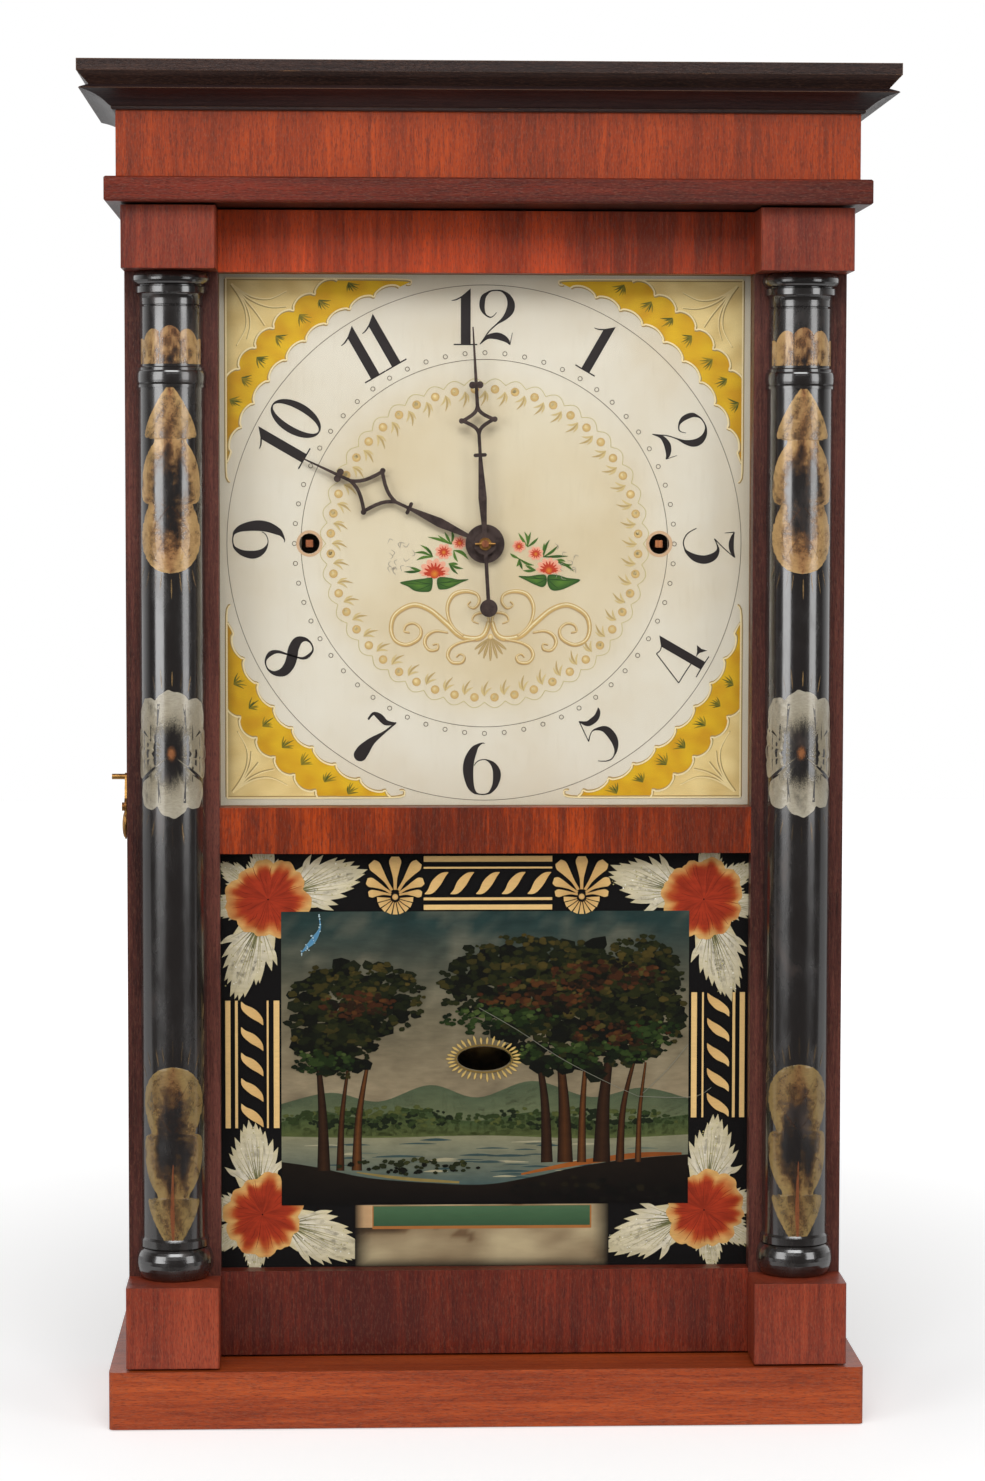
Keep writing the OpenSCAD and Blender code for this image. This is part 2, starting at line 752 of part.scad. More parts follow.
module hinge_leaf(side, z) {
  // side 1 is the case's leaf and -1 the door's
  y0 = side > 0 ? case_y - 0.1 : door_back_y + 0.1 - leaf_t;
  spans = side > 0 ? [[1, 2]] : [[0, 1], [2, 3]];
  difference() {
    union() {
      block([half_w - leaf_w, y0, z], [half_w - knuckle_r - 0.2, y0 + leaf_t, z + hinge_h]);
      for (k = spans) {
        z0 = z + k[0] * knuckle_l + knuckle_gap;
        z1 = z + k[1] * knuckle_l - knuckle_gap;
        block([half_w - knuckle_r - 0.3, y0, z0], [half_w, y0 + leaf_t, z1]);
        translate([half_w, hinge_y, z0]) cylinder(h = z1 - z0, r = knuckle_r);
      }
    }
    translate([half_w, hinge_y, z - 1])
      cylinder(h = hinge_h + 2, r = hinge_pin_r + (side > 0 ? 0.01 : run_fit));
  }
}

module hinge_case_leaves() {
  color(BRASS) for (z = hinge_levels) {
    hinge_leaf(1, z);
    translate([half_w, hinge_y, z + 0.5]) cylinder(h = hinge_h - 1, r = hinge_pin_r);
  }
}

module hinge_door_leaves() {
  color(BRASS) for (z = hinge_levels) hinge_leaf(-1, z);
}

// The latch is a brass hook on the left side. Its outline is drawn as [distance forward, height]
latch_pivot = [case_y + latch_back, base_h + latch_rise];
stud_at = [case_y - 10.4, latch_pivot[1] + 11.5];
stud_r = 1.2;
latch_t = 1.2;
latch_off = 0.6;
latch_pin_r = 1.5;
finger_at = [16, 27.5];

module latch_hook() {
  s = [latch_pivot[0] - stud_at[0], stud_at[1] - latch_pivot[1]];
  away = atan2(-s[0], s[1]);
  slot_w = 2 * stud_r + 0.6;
  x1 = -half_w - latch_off;
  color(BRASS) {
    translate([x1, latch_pivot[0], latch_pivot[1]]) rotate([90, 0, -90]) linear_extrude(latch_t)
      difference() {
        union() {
          circle(r = 5.5);
          link([0, 0], s, 5);
          translate(s) circle(r = 4.6);
          link(s, finger_at, 4);
        }
        circle(r = latch_pin_r + run_fit);
        translate(s) circle(d = slot_w);
        intersection() {
          difference() {
            circle(r = norm(s) + slot_w / 2);
            circle(r = norm(s) - slot_w / 2);
          }
          translate(s) rotate(away) translate([0, -6]) square([9, 12]);
        }
      }
    bar_x([latch_pivot[0] - finger_at[0], latch_pivot[1] + finger_at[1]], 1.5,
          x1 - latch_t - finger_l, x1 - latch_t + eps);
  }
}

module latch_rosette() {
  // a domed head on a shank that carries the hook
  x0 = -half_w;
  head = 2.2;
  cap_x = x0 - latch_off - latch_t - 0.3;
  color(BRASS) {
    bar_x(latch_pivot, latch_pin_r, cap_x - eps, x0);
    bar_x(latch_pivot, 3, x0 - latch_off + 0.1, x0);
    translate([cap_x, latch_pivot[0], latch_pivot[1]]) rotate([0, -90, 0])
      rotate_extrude() polygon([[0, 0], [rosette_r, 0], [rosette_r, 0.6],
        for (i = [0:6]) let (a = 90 * i / 6) [(rosette_r - 0.8) * cos(a), 0.8 + (head - 0.8) * sin(a)]]);
  }
}

module latch_stud() {
  x = -half_w;
  color(BRASS) {
    bar_x(stud_at, stud_r, x - latch_off - latch_t - 0.4, x + 8);
    bar_x(stud_at, 2.3, x - latch_off - latch_t - 1.4, x - latch_off - latch_t - 0.3);
  }
}

// The movement

module front_plate() {
  color(CHERRY) difference() {
    block([-plate_x, plate_y, plate_z], [plate_x, plate_back_y, plate_z + plate_h]);
    for (p = [second_at, third_at, escape_at, pin_at, warning_at, fly_at, hammer_at]) {
      pivot_hole(p, plate_y);
    }
    bar_y(centre_at, centre_r + run_fit, plate_y - 1, plate_back_y + 1);
    bar_y(verge_at, arbor_r + run_fit, plate_y - 1, plate_back_y + 1);
    for (p = [time_at, strike_at]) bar_y(p, winder_r + run_fit, plate_y - 1, plate_back_y + 1);
    for (p = PILLARS) bar_y(p, pillar_r - 2 + run_fit, plate_y - 1, plate_back_y + 1);
  }
}

module back_plate() {
  color(CHERRY) difference() {
    block([-plate_x, rear_plate_y, plate_z], [plate_x, rear_plate_y + plate_t, plate_z + plate_h]);
    for (p = [second_at, third_at, escape_at, pin_at, warning_at, fly_at, hammer_at]) {
      pivot_hole(p, rear_plate_y);
    }
    for (p = [centre_at, time_at, strike_at]) pivot_hole(p, rear_plate_y);
    for (p = PILLARS) bar_y(p, pillar_r - 2 + run_fit, rear_plate_y - 1, rear_plate_y + plate_t + 1);
  }
}

pillar_in = batten_grip + pillar_r + 3;
PILLARS = [for (s = [-1, 1], z = [pillar_in, plate_h - pillar_in])
  [s * (plate_x - pillar_side), plate_z + z]];

module plate_pillars() {
  // turned pillars with a waist, and a tenon through each plate
  l = plate_gap;
  color(CHERRY) for (p = PILLARS) {
    translate([p[0], plate_back_y, p[1]]) rotate([-90, 0, 0]) rotate_extrude()
      polygon(concat(
        [[0, -plate_t], [pillar_r - 2, -plate_t], [pillar_r - 2, 0], [pillar_r, 0], [pillar_r, 4]],
        [for (i = [0:8]) let (t = i / 8) [pillar_r - 1.2 * sin(180 * t), 4 + (l - 8) * t]],
        [[pillar_r, l], [pillar_r - 2, l], [pillar_r - 2, l + plate_t], [0, l + plate_t]]));
  }
}

susp_gap = 0.5;
post_z = verge_at[1] + arbor_r + 0.6;
susp_t = 0.3;
module studs_and_posts() {
  color(IRON) {
    bar_y(motion_at, pivot_r, dial_back_y + 2, plate_y);
    bar_y(count_at, pivot_r, plate_back_y, layer_count[1] + 1);
    bar_y(lever_at, pivot_r, plate_back_y, layer_count[1] + 1);
    difference() {
      block([-4, rod_y - 5, post_z], [4, plate_y, post_z + 8]);
      block([-susp_t / 2 - susp_gap, rod_y - 6, post_z - 1],
            [susp_t / 2 + susp_gap, rod_y + 4.5, post_z + 3.6]);
    }
    bar_y(bell_at, 3, rear_plate_y - 23, board_y);
    bar_y(bell_at, 7, board_y - 2, board_y);
    bar_y(bell_at, 5, rear_plate_y - 26, rear_plate_y - 23);
  }
}

// A great wheel turns loose on its winding arbor and carries the click
module great_wheel(at, n, toward) {
  click = polar(at, flange_r + 6, 100);
  tip = polar(at, flange_r + 0.9, 78);
  color(CHERRY) {
    wheel(at, layer_great, n, great_module, WHEEL_FORM, toward, false, winder_r + run_fit,
          6, 7, 29);
    slab(layer_great[0] - 2.4, layer_great[0]) {
      translate(click) circle(r = 3);
      link(click, tip, 1.2);
    }
  }
}

module time_great_wheel() { great_wheel(time_at, great_teeth, bearing(time_at, second_at)); }

module strike_great_wheel() { great_wheel(strike_at, strike_teeth, bearing(strike_at, pin_at)); }

// A drum with its flanges, ratchet, arbor and winding square
module drum(at) {
  y0 = layer_drum[0];
  y1 = layer_drum[1];
  ratchet = 20;
  color(CHERRY) {
    bar_y(at, drum_r, y0, y1);
    bar_y(at, flange_r, y0, y0 + 1.4);
    slab(y1 - 1.6, y1) translate(at) polygon([for (i = [0:ratchet - 1], k = [0, 1])
      let (r = k == 0 ? flange_r : flange_r - 1.6, a = 360 / ratchet * i)
      [r * cos(a), r * sin(a)]]);
  }
  color(IRON) {
    bar_y(at, winder_r, plate_y - 2, layer_great[1] + 2);
    bar_y(at, 5, layer_great[1] + 0.3, layer_great[1] + 2.3);
    bar_y(at, arbor_r, layer_great[1], rear_plate_y - 0.3);
    bar_y(at, pivot_r, layer_great[1], rear_plate_y + 5);
    translate([at[0] - square_w / 2, dial_y + 2, at[1] - square_w / 2])
      cube([square_w, plate_y - dial_y - 3, square_w]);
  }
}

module time_drum() { drum(time_at); }

module strike_drum() { drum(strike_at); }

module time_second_wheel() {
  color(CHERRY) {
    arbor(second_at);
    wheel(second_at, layer_minute, second_teeth, great_module, EVEN_FORM,
          bearing(second_at, centre_at), false, 0, 5, 4.4, 15);
    wheel(second_at, [layer_great[0] - pinion_lap, layer_great[1] + pinion_lap], great_leaves,
          great_module, LEAF_FORM, bearing(second_at, time_at), true, 0);
  }
}

module centre_wheel() {
  color(CHERRY) {
    wheel(centre_at, layer_minute, centre_leaves, great_module, EVEN_FORM,
          bearing(centre_at, second_at), true, 0);
    wheel(centre_at, layer_centre, centre_teeth, train_module, WHEEL_FORM,
          bearing(centre_at, third_at), false, 0, 6, 7, 24);
    wheel(centre_at, [plate_y - 9, plate_y - 4], cannon_leaves, motion_module, LEAF_FORM,
          bearing(centre_at, motion_at), true, 0);
  }
  color(IRON) {
    bar_y(centre_at, arbor_r, hand_y - hand_t - 2.6, plate_y - 20);
    bar_y(centre_at, centre_r, hour_hand_y - hand_t - 0.9, rear_plate_y - 0.3);
    bar_y(centre_at, pivot_r, rear_plate_y - 1, rear_plate_y + 5);
  }
}

module third_wheel() {
  color(CHERRY) {
    arbor(third_at);
    wheel(third_at, layer_third, third_teeth, train_module, WHEEL_FORM,
          bearing(third_at, escape_at), false, 0, 5, 5.4, 17);
    wheel(third_at, [layer_centre[0] - pinion_lap, layer_centre[1] + pinion_lap], train_leaves,
          train_module, LEAF_FORM, bearing(third_at, centre_at), true, 0);
  }
}

module escape_wheel() {
  root = escape_r - 3;
  color(CHERRY) {
    arbor(escape_at);
    // saw teeth that lean forward
    slab(layer_escape[0], layer_escape[1]) translate(escape_at) difference() {
      polygon([for (i = [0:escape_teeth - 1], k = [0:2])
        let (r = k == 0 ? root : escape_r, a = 360 / escape_teeth * (i + [0, 0.42, 0.54][k]))
        [r * cos(a), r * sin(a)]]);
      for (i = [0:4]) rotate(72 * i) translate([11, 0]) circle(r = 3.6);
    }
    wheel(escape_at, [layer_third[0] - pinion_lap, layer_third[1] + pinion_lap], train_leaves,
          train_module, LEAF_FORM, bearing(escape_at, third_at), true, 0);
  }
}

swing_gap = 1.35;
module verge() {
  reach_r = escape_r + swing_gap;
  spread = 38;
  fork_z = verge_at[1] - 36;
  crutch_y = plate_y - motion_gap / 6;
  fork_x = rod_r + 0.3 + 0.7;
  color(IRON) {
    bar_y(verge_at, arbor_r, crutch_y - 1.2, layer_escape[1] + 0.3);
    slab(layer_escape[0], layer_escape[1]) {
      translate(verge_at) circle(r = 3.6);
      for (s = [-1, 1]) {
        nib = escape_at + reach_r * [s * sin(spread), cos(spread)];
        knee = escape_at + (reach_r + 5.4) * [s * sin(spread - 4), cos(spread - 4)];
        link(verge_at, knee, 2.6);
        polygon([nib, knee + [s * 1.3, -0.4], knee + [-s * 1.3, -0.6]]);
      }
    }
    // crutch wire and the fork that holds the rod
    translate([0, crutch_y, fork_z]) cylinder(h = verge_at[1] - fork_z, r = 0.8);
    bar_x([crutch_y, fork_z], 0.7, -fork_x, fork_x);
    for (s = [-1, 1]) bar_y([s * fork_x, fork_z], 0.7, rod_y - 2.5, crutch_y);
  }
}

module pendulum_rod() {
  nut_z = bob_at[1] - bob_r - 3.4;
  color(BRASS) {
    block([-susp_t / 2, rod_y - 3.5, verge_at[1] - 6], [susp_t / 2, rod_y + 3.5, post_z + 3.2]);
    translate([0, rod_y, nut_z - 6]) cylinder(h = verge_at[1] - 4 - nut_z + 6, r = rod_r);
    difference() {
      translate([0, rod_y, nut_z]) cylinder(h = 3, r = 3.6, $fn = 6);
      translate([0, rod_y, nut_z - 1]) cylinder(h = 5, r = rod_r - eps);
    }
  }
}

module pendulum_bob() {
  // a brass lens with a rim
  n = 10;
  h = bob_t / 2;
  dome = [for (i = [0:n]) let (t = i / n) [bob_r * (1 - t), 0.8 + (h - 0.8) * sin(90 * t)]];
  back = [for (i = [n:-1:0]) let (t = i / n) [bob_r * (1 - t), -0.8 - (h - 0.8) * sin(90 * t)]];
  color(BRASS) difference() {
    translate([0, rod_y, bob_at[1]]) rotate([90, 0, 0]) rotate_extrude()
      polygon(concat(dome, back));
    translate([0, rod_y, bob_at[1] - bob_r - 1]) cylinder(h = 2 * bob_r + 2, r = rod_r + run_fit);
  }
}

module motion_wheel() {
  color(CHERRY) {
    wheel(motion_at, [plate_y - 8, plate_y - 5], motion_teeth, motion_module, WHEEL_FORM,
          bearing(motion_at, centre_at), false, pivot_r + run_fit);
    wheel(motion_at, [dial_back_y + 3, plate_y - 8 + eps], motion_leaves, motion_module, LEAF_FORM,
          bearing(motion_at, centre_at), true, pivot_r + run_fit);
  }
}

pipe_r = 4.2;
hour_hand_y = dial_y - 3.4;
hand_y = hour_hand_y - 3.2;
module hour_wheel() {
  color(CHERRY) wheel(centre_at, [dial_back_y + 4, dial_back_y + 7.5], hour_teeth, motion_module,
                      WHEEL_FORM, bearing(centre_at, motion_at), false, centre_r + run_fit);
  color(BRASS) difference() {
    bar_y(centre_at, pipe_r, hour_hand_y - hand_t - 0.6, dial_back_y + 4 + eps);
    bar_y(centre_at, centre_r + run_fit, hour_hand_y - 5, dial_back_y + 9);
  }
}

// The open concave diamond of a hand, from its foot at y0 to its tip at y1
module open_diamond(y0, y1, half, bow) {
  mid = (y0 + y1) / 2;
  function side(s, q, p) = [for (i = [0:6]) let (t = i / 6)
    p + (q - p) * t + s * bow * sin(180 * t) * [-1, 0]];
  module quarter_strip(p, q, s) {
    pts = side(s, q, p);
    for (i = [0:5]) link(pts[i], pts[i + 1], hand_strip);
  }
  for (s = [-1, 1]) {
    quarter_strip([0, y0], [s * half, mid], s);
    quarter_strip([0, y1], [s * half, mid], s);
    translate([s * (half + 0.6), mid]) circle(r = hand_strip * 0.75);
  }
}

// A hand that points up: blade, small cross bar, diamond, two beads and a needle
module hand_outline(l, hub_r, bore, waist, blade, cross, d0, d1, half, beads, tail) {
  difference() {
    union() {
      circle(r = hub_r);
      polygon([[-1.1, hub_r - 1], [1.1, hub_r - 1], [blade, waist], [0.9, cross],
               [0.9, d0], [-0.9, d0], [-0.9, cross], [-blade, waist]]);
      link([-2.6, cross], [2.6, cross], 2);
      open_diamond(d0, d1, half, 2.2);
      polygon([[-1, d1 - 1], [1, d1 - 1], [0.9, beads], [0.35, l], [-0.35, l], [-0.9, beads]]);
      for (s = [-1, 1]) translate([s * 2, beads]) circle(r = 1.9);
      if (tail > 0) link([0, 2 - hub_r], [0, 2 - tail], 2);
      if (tail > 0) translate([0, -tail]) circle(r = 4.8);
    }
    circle(r = bore);
  }
}

module hour_hand() {
  l = hour_l;
  color(IRON) slab(hour_hand_y - hand_t, hour_hand_y) translate(centre_at) rotate(-hour_at)
    hand_outline(l, 10.6, pipe_r, 27, 2.6, l * 0.415, l * 0.49, l * 0.735, 11.8, l * 0.80, 0);
}

module minute_hand() {
  l = minute_l;
  color(IRON) slab(hand_y - hand_t, hand_y) translate(centre_at) rotate(-minute_at)
    hand_outline(l, 6, arbor_r, 25, 2.3, l * 0.41, l * 0.507, l * 0.636, 8.4, l * 0.733, minute_tail);
}

module hand_collet() {
  y1 = hand_y - hand_t;
  color(BRASS) difference() {
    union() {
      bar_y(centre_at, 3.4, y1 - 1, y1);
      translate([-5.5, y1 - 1.5, dial_z]) rotate([0, 90, 0]) cylinder(h = 11, r = 0.6);
    }
    bar_y(centre_at, arbor_r, y1 - 4, y1 + 1);
  }
}

module pin_wheel() {
  color(CHERRY) {
    arbor(pin_at);
    wheel(pin_at, layer_centre, pin_teeth, train_module, WHEEL_FORM, bearing(pin_at, warning_at),
          false, 0, 5, 5, 13);
    wheel(pin_at, [layer_great[0] - pinion_lap, layer_great[1] + pinion_lap], great_leaves,
          great_module, LEAF_FORM, bearing(pin_at, strike_at), true, 0);
    wheel(pin_at, [layer_escape[0] - 0.5, layer_escape[1] + 0.5], train_leaves, train_module,
          LEAF_FORM, bearing(pin_at, count_at), true, 0);
  }
  color(IRON) for (i = [0:strike_pins - 1]) {
    bar_y(polar(pin_at, pin_ring_r, 360 / strike_pins * i + 12), 1,
          layer_centre[1] - eps, layer_hammer[1] + 0.6);
  }
}

module warning_wheel() {
  color(CHERRY) {
    arbor(warning_at);
    wheel(warning_at, layer_third, warning_teeth, train_module, WHEEL_FORM,
          bearing(warning_at, fly_at), false, 0, 5, 4.6, 15);
    wheel(warning_at, [layer_centre[0] - pinion_lap, layer_centre[1] + pinion_lap], train_leaves,
          train_module, LEAF_FORM, bearing(warning_at, pin_at), true, 0);
  }
}

module fly() {
  vane = 17;
  color(CHERRY) {
    arbor(fly_at);
    wheel(fly_at, [layer_third[0] - pinion_lap, layer_third[1] + pinion_lap], train_leaves,
          train_module, LEAF_FORM, bearing(fly_at, warning_at), true, 0);
    slab(layer_escape[0], layer_minute[1]) translate(fly_at) rotate(20) {
      translate([-vane, -0.8]) square([2 * vane, 1.6]);
    }
    bar_y(fly_at, 3.4, layer_escape[0], layer_minute[1]);
  }
}

module count_wheel() {
  // the notches stand after one blow, two blows and so on up to twelve
  blows = 78;
  color(CHERRY) {
    wheel(count_at, layer_escape, count_teeth, train_module, WHEEL_FORM,
          bearing(count_at, pin_at), false, pivot_r + run_fit);
    slab(layer_count[0] - eps, layer_count[1]) translate(count_at) difference() {
      circle(r = count_disc_r);
      circle(r = pivot_r + run_fit);
      for (k = [0:11]) rotate(360 * (k * (k + 1) / 2) / blows + 60)
        translate([count_disc_r - 3, -0.9]) square([4, 1.8]);
    }
  }
}

module count_lever() {
  d = norm(count_at - lever_at);
  tip = polar(count_at, count_disc_r + 1.4, bearing(count_at, lever_at) + 6);
  color(IRON) slab(layer_count[0] + 0.3, layer_count[1] - 0.2) difference() {
    union() {
      translate(lever_at) circle(r = 4);
      link(lever_at, tip, 2);
    }
    translate(lever_at) circle(r = pivot_r + run_fit);
  }
}

module hammer() {
  y = (layer_hammer[0] + layer_hammer[1]) / 2;
  d = norm(pin_at - hammer_at);
  tail = hammer_at + (pin_at - hammer_at) * (1 - (pin_ring_r + 1 + 0.8 + 1) / d);
  color(IRON) {
    arbor(hammer_at);
    bar_y(hammer_at, 3.4, layer_hammer[0] - 1, layer_hammer[1] + 1);
    slab(layer_hammer[0], layer_hammer[1]) {
      link(hammer_at, hammer_head - [0, 4], 2.2);
      link(hammer_at, tail, 2);
    }
    bar_x([y, hammer_head[1]], 5, hammer_head[0] - 6, hammer_head[0] + 7);
  }
}

module bell() {
  // a turned dome that opens to the back
  d = 24;
  n = 12;
  outer = [for (i = [0:n]) let (a = 90 * i / n) [bell_r * sin(a), d * (1 - cos(a))]];
  inner = [for (i = [n:-1:0]) let (a = 90 * i / n)
    [(bell_r - bell_t) * sin(a), bell_t + (d - bell_t) * (1 - cos(a))]];
  color(IRON) difference() {
    translate([bell_at[0], rear_plate_y - 23, bell_at[1]]) rotate([-90, 0, 0])
      rotate_extrude() polygon(concat(outer, inner));
    bar_y(bell_at, 3 + run_fit, rear_plate_y - 24, rear_plate_y - 15);
  }
}

// Weights, pulleys and cords

module pulley(s) {
  at = [s * pulley_x, pulley_z];
  y = cord_y;
  r = pulley_r - cord_r;
  color(CHERRY) {
    translate([at[0], y, at[1]]) rotate([90, 0, 0]) rotate_extrude() polygon([
      [0, -3], [r + 2.4, -3], [r + 2.4, -2.4], [r - 0.4, -0.9], [r - 0.4, 0.9], [r + 2.4, 2.4],
      [r + 2.4, 3], [0, 3]]);
  }
  color(IRON) bar_y(at, pivot_r, y - 11.5, y + 11.5);
}

module left_pulley() { pulley(-1); }

module right_pulley() { pulley(1); }

module weight(s) {
  // cast iron, with the cast shoulders sloped in under the wire hook
  c = 3;
  w = weight_w / 2;
  d = weight_d / 2;
  top = weight_z + weight_h;
  color(IRON) translate([s * cord_x, cord_y, 0]) {
    translate([0, 0, weight_z]) linear_extrude(weight_h - 4) polygon([
      [-w + c, -d], [w - c, -d], [w, -d + c], [w, d - c], [w - c, d], [-w + c, d],
      [-w, d - c], [-w, -d + c]]);
    translate([0, d - c, 0]) rotate([90, 0, 0]) linear_extrude(2 * (d - c)) polygon([
      [-w + 1, top - 4 - eps], [w - 1, top - 4 - eps], [w - 5, top], [-w + 5, top]]);
    translate([0, 0, hook_top_z - hook_ring_r - hook_wire_r]) rotate([90, 0, 0])
      rotate_extrude($fn = 32) translate([hook_ring_r, 0]) circle(r = hook_wire_r, $fn = 16);
  }
}

module left_weight() { weight(-1); }

module right_weight() { weight(1); }

module cord_run(s) {
  // from the drum, up to the pulley and over it
  start = [wind_x, dial_z] + (wind_r + 0.2) * [cos(run_angle), sin(run_angle)];
  stop = [pulley_x, pulley_z] - pulley_r * [cos(run_angle), sin(run_angle)];
  v = stop - start;
  mirror([s > 0 ? 0 : 1, 0, 0]) {
    translate([start[0], cord_y, start[1]]) rotate([0, 90 - atan2(v[1], v[0]), 0])
      cylinder(h = norm(v), r = cord_r, $fn = 16);
    translate([pulley_x, cord_y, pulley_z]) rotate([90, 0, 0])
      rotate_extrude(angle = 180 + run_angle, $fn = 48) translate([pulley_r, 0])
        circle(r = cord_r - 0.05, $fn = 16);
  }
}

module cord_runs() {
  color(HEMP) {
    cord_run(-1);
    cord_run(1);
  }
}

module cord_drop(s) {
  color(HEMP) translate([s * cord_x, cord_y, hook_top_z + 0.2])
    cylinder(h = pulley_z - hook_top_z - 0.2, r = cord_r, $fn = 16);
}

module left_cord_drop() { cord_drop(-1); }

module right_cord_drop() { cord_drop(1); }

base_board();
left_side_board();
right_side_board();
back_board();
top_board();
frieze();
frieze_band();
cornice_moulding();
cornice_board();
dial_rails();
movement_battens();
dial_board();
door_stiles();
top_rail();
middle_rail();
bottom_rail();
corner_blocks();
half_columns();
dial_glass();
tablet_glass();
glazing_strips();
latch_stud();
hinge_case_leaves();
hinge_door_leaves();
latch_hook();
latch_rosette();
front_plate();
back_plate();
plate_pillars();
studs_and_posts();
time_great_wheel();
time_drum();
time_second_wheel();
centre_wheel();
third_wheel();
escape_wheel();
verge();
pendulum_rod();
pendulum_bob();
motion_wheel();
hour_wheel();
hour_hand();
minute_hand();
hand_collet();
strike_great_wheel();
strike_drum();
pin_wheel();
warning_wheel();
fly();
count_wheel();
count_lever();
hammer();
bell();
left_pulley();
right_pulley();
left_weight();
right_weight();
cord_runs();
left_cord_drop();
right_cord_drop();
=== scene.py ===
"""A flat top shelf clock with half columns, dressed over its packed construction model.

The construction model is loaded as a fixed frame. Each class below dresses one sub-assembly:
it paints the nodes that show and adds thin pieces, such as the painted ornament, that ride on
the bodies of the frame.
"""

import logging
import math
import random
from collections.abc import Callable
from dataclasses import dataclass, field
from enum import Enum

import bpy
from mathutils import Matrix, Vector, noise
from mathutils.geometry import tessellate_polygon


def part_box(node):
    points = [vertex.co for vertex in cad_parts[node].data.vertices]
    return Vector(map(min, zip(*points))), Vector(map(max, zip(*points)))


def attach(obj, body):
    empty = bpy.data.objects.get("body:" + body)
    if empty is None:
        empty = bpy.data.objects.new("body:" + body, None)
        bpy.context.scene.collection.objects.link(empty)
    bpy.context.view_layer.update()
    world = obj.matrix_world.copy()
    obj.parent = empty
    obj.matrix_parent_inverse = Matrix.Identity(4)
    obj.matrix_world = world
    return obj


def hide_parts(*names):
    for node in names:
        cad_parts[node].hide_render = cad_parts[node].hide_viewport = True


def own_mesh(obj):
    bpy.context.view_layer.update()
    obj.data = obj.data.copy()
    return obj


Socket, Material = bpy.types.NodeSocket, bpy.types.Material
LOG = logging.getLogger("shelf_clock")
MM = 0.001
# The middle of the dial and how far the winding holes stand from it, in millimetres.
DIAL_X, DIAL_Z = 0.0, 473.0
WIND_X = 95.4
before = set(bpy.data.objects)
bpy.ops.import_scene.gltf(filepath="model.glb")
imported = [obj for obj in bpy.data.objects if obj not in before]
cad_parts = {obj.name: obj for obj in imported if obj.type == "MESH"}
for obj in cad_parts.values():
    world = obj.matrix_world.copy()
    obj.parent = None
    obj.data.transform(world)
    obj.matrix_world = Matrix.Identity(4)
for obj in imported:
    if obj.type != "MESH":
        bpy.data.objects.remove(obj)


def clamp(v: float, low: float = 0.0, high: float = 1.0) -> float:
    """Keeps a value between two limits."""
    return min(high, max(low, v))


def between(p: tuple, q: tuple, share: float) -> tuple[float, float]:
    """Gives the point at a share of the way from one point to another."""
    return p[0] + (q[0] - p[0]) * share, p[1] + (q[1] - p[1]) * share


def around(x: float, z: float, a: float, rx: float, rz: float | None = None) -> tuple[float, float]:
    """Gives a point of a circle or an ellipse, at an angle in radians from its right-hand side."""
    return x + rx * math.cos(a), z + (rx if rz is None else rz) * math.sin(a)


def towards(x: float, z: float, a: float, far: float) -> tuple[float, float]:
    """Gives the point at a distance from another, at an angle in radians clockwise from the top."""
    return x + far * math.sin(a), z + far * math.cos(a)


def cloudy(x: float, z: float, layer: float) -> float:
    """Gives soft noise between -1 and 1 at a point of one of its layers."""
    return noise.noise(Vector((x, z, layer)))


def angles(n: int) -> list[float]:
    """Gives n even angles of a full turn, in radians."""
    return [2 * math.pi * i / n for i in range(n)]


def srgb(r: float, g: float, b: float) -> tuple[float, float, float]:
    """Turns a display colour of 0 to 255 into linear light of 0 to 1.

    Args:
        r: Red.
        g: Green.
        b: Blue.

    Returns:
        The linear colour.
    """
    def one(v: float) -> float:
        """Turns one of the three values."""
        v = max(v, 0.0) / 255.0
        return v / 12.92 if v <= 0.04045 else ((v + 0.055) / 1.055) ** 2.4

    return one(r), one(g), one(b)


def blend(a: tuple, b: tuple, t: float) -> tuple:
    """Mixes two tints.

    Args:
        a: The first tint.
        b: The second tint.
        t: The share of the second, 0 to 1.

    Returns:
        The mixed tint.
    """
    t = clamp(t)
    return tuple(p + (q - p) * t for p, q in zip(a, b))


class Grain(Enum):
    """The way that the grain of a board runs: 1 for an axis across it, 0 for the axis along it."""

    UPRIGHT = (1, 1, 0)
    LEVEL = (0, 1, 1)


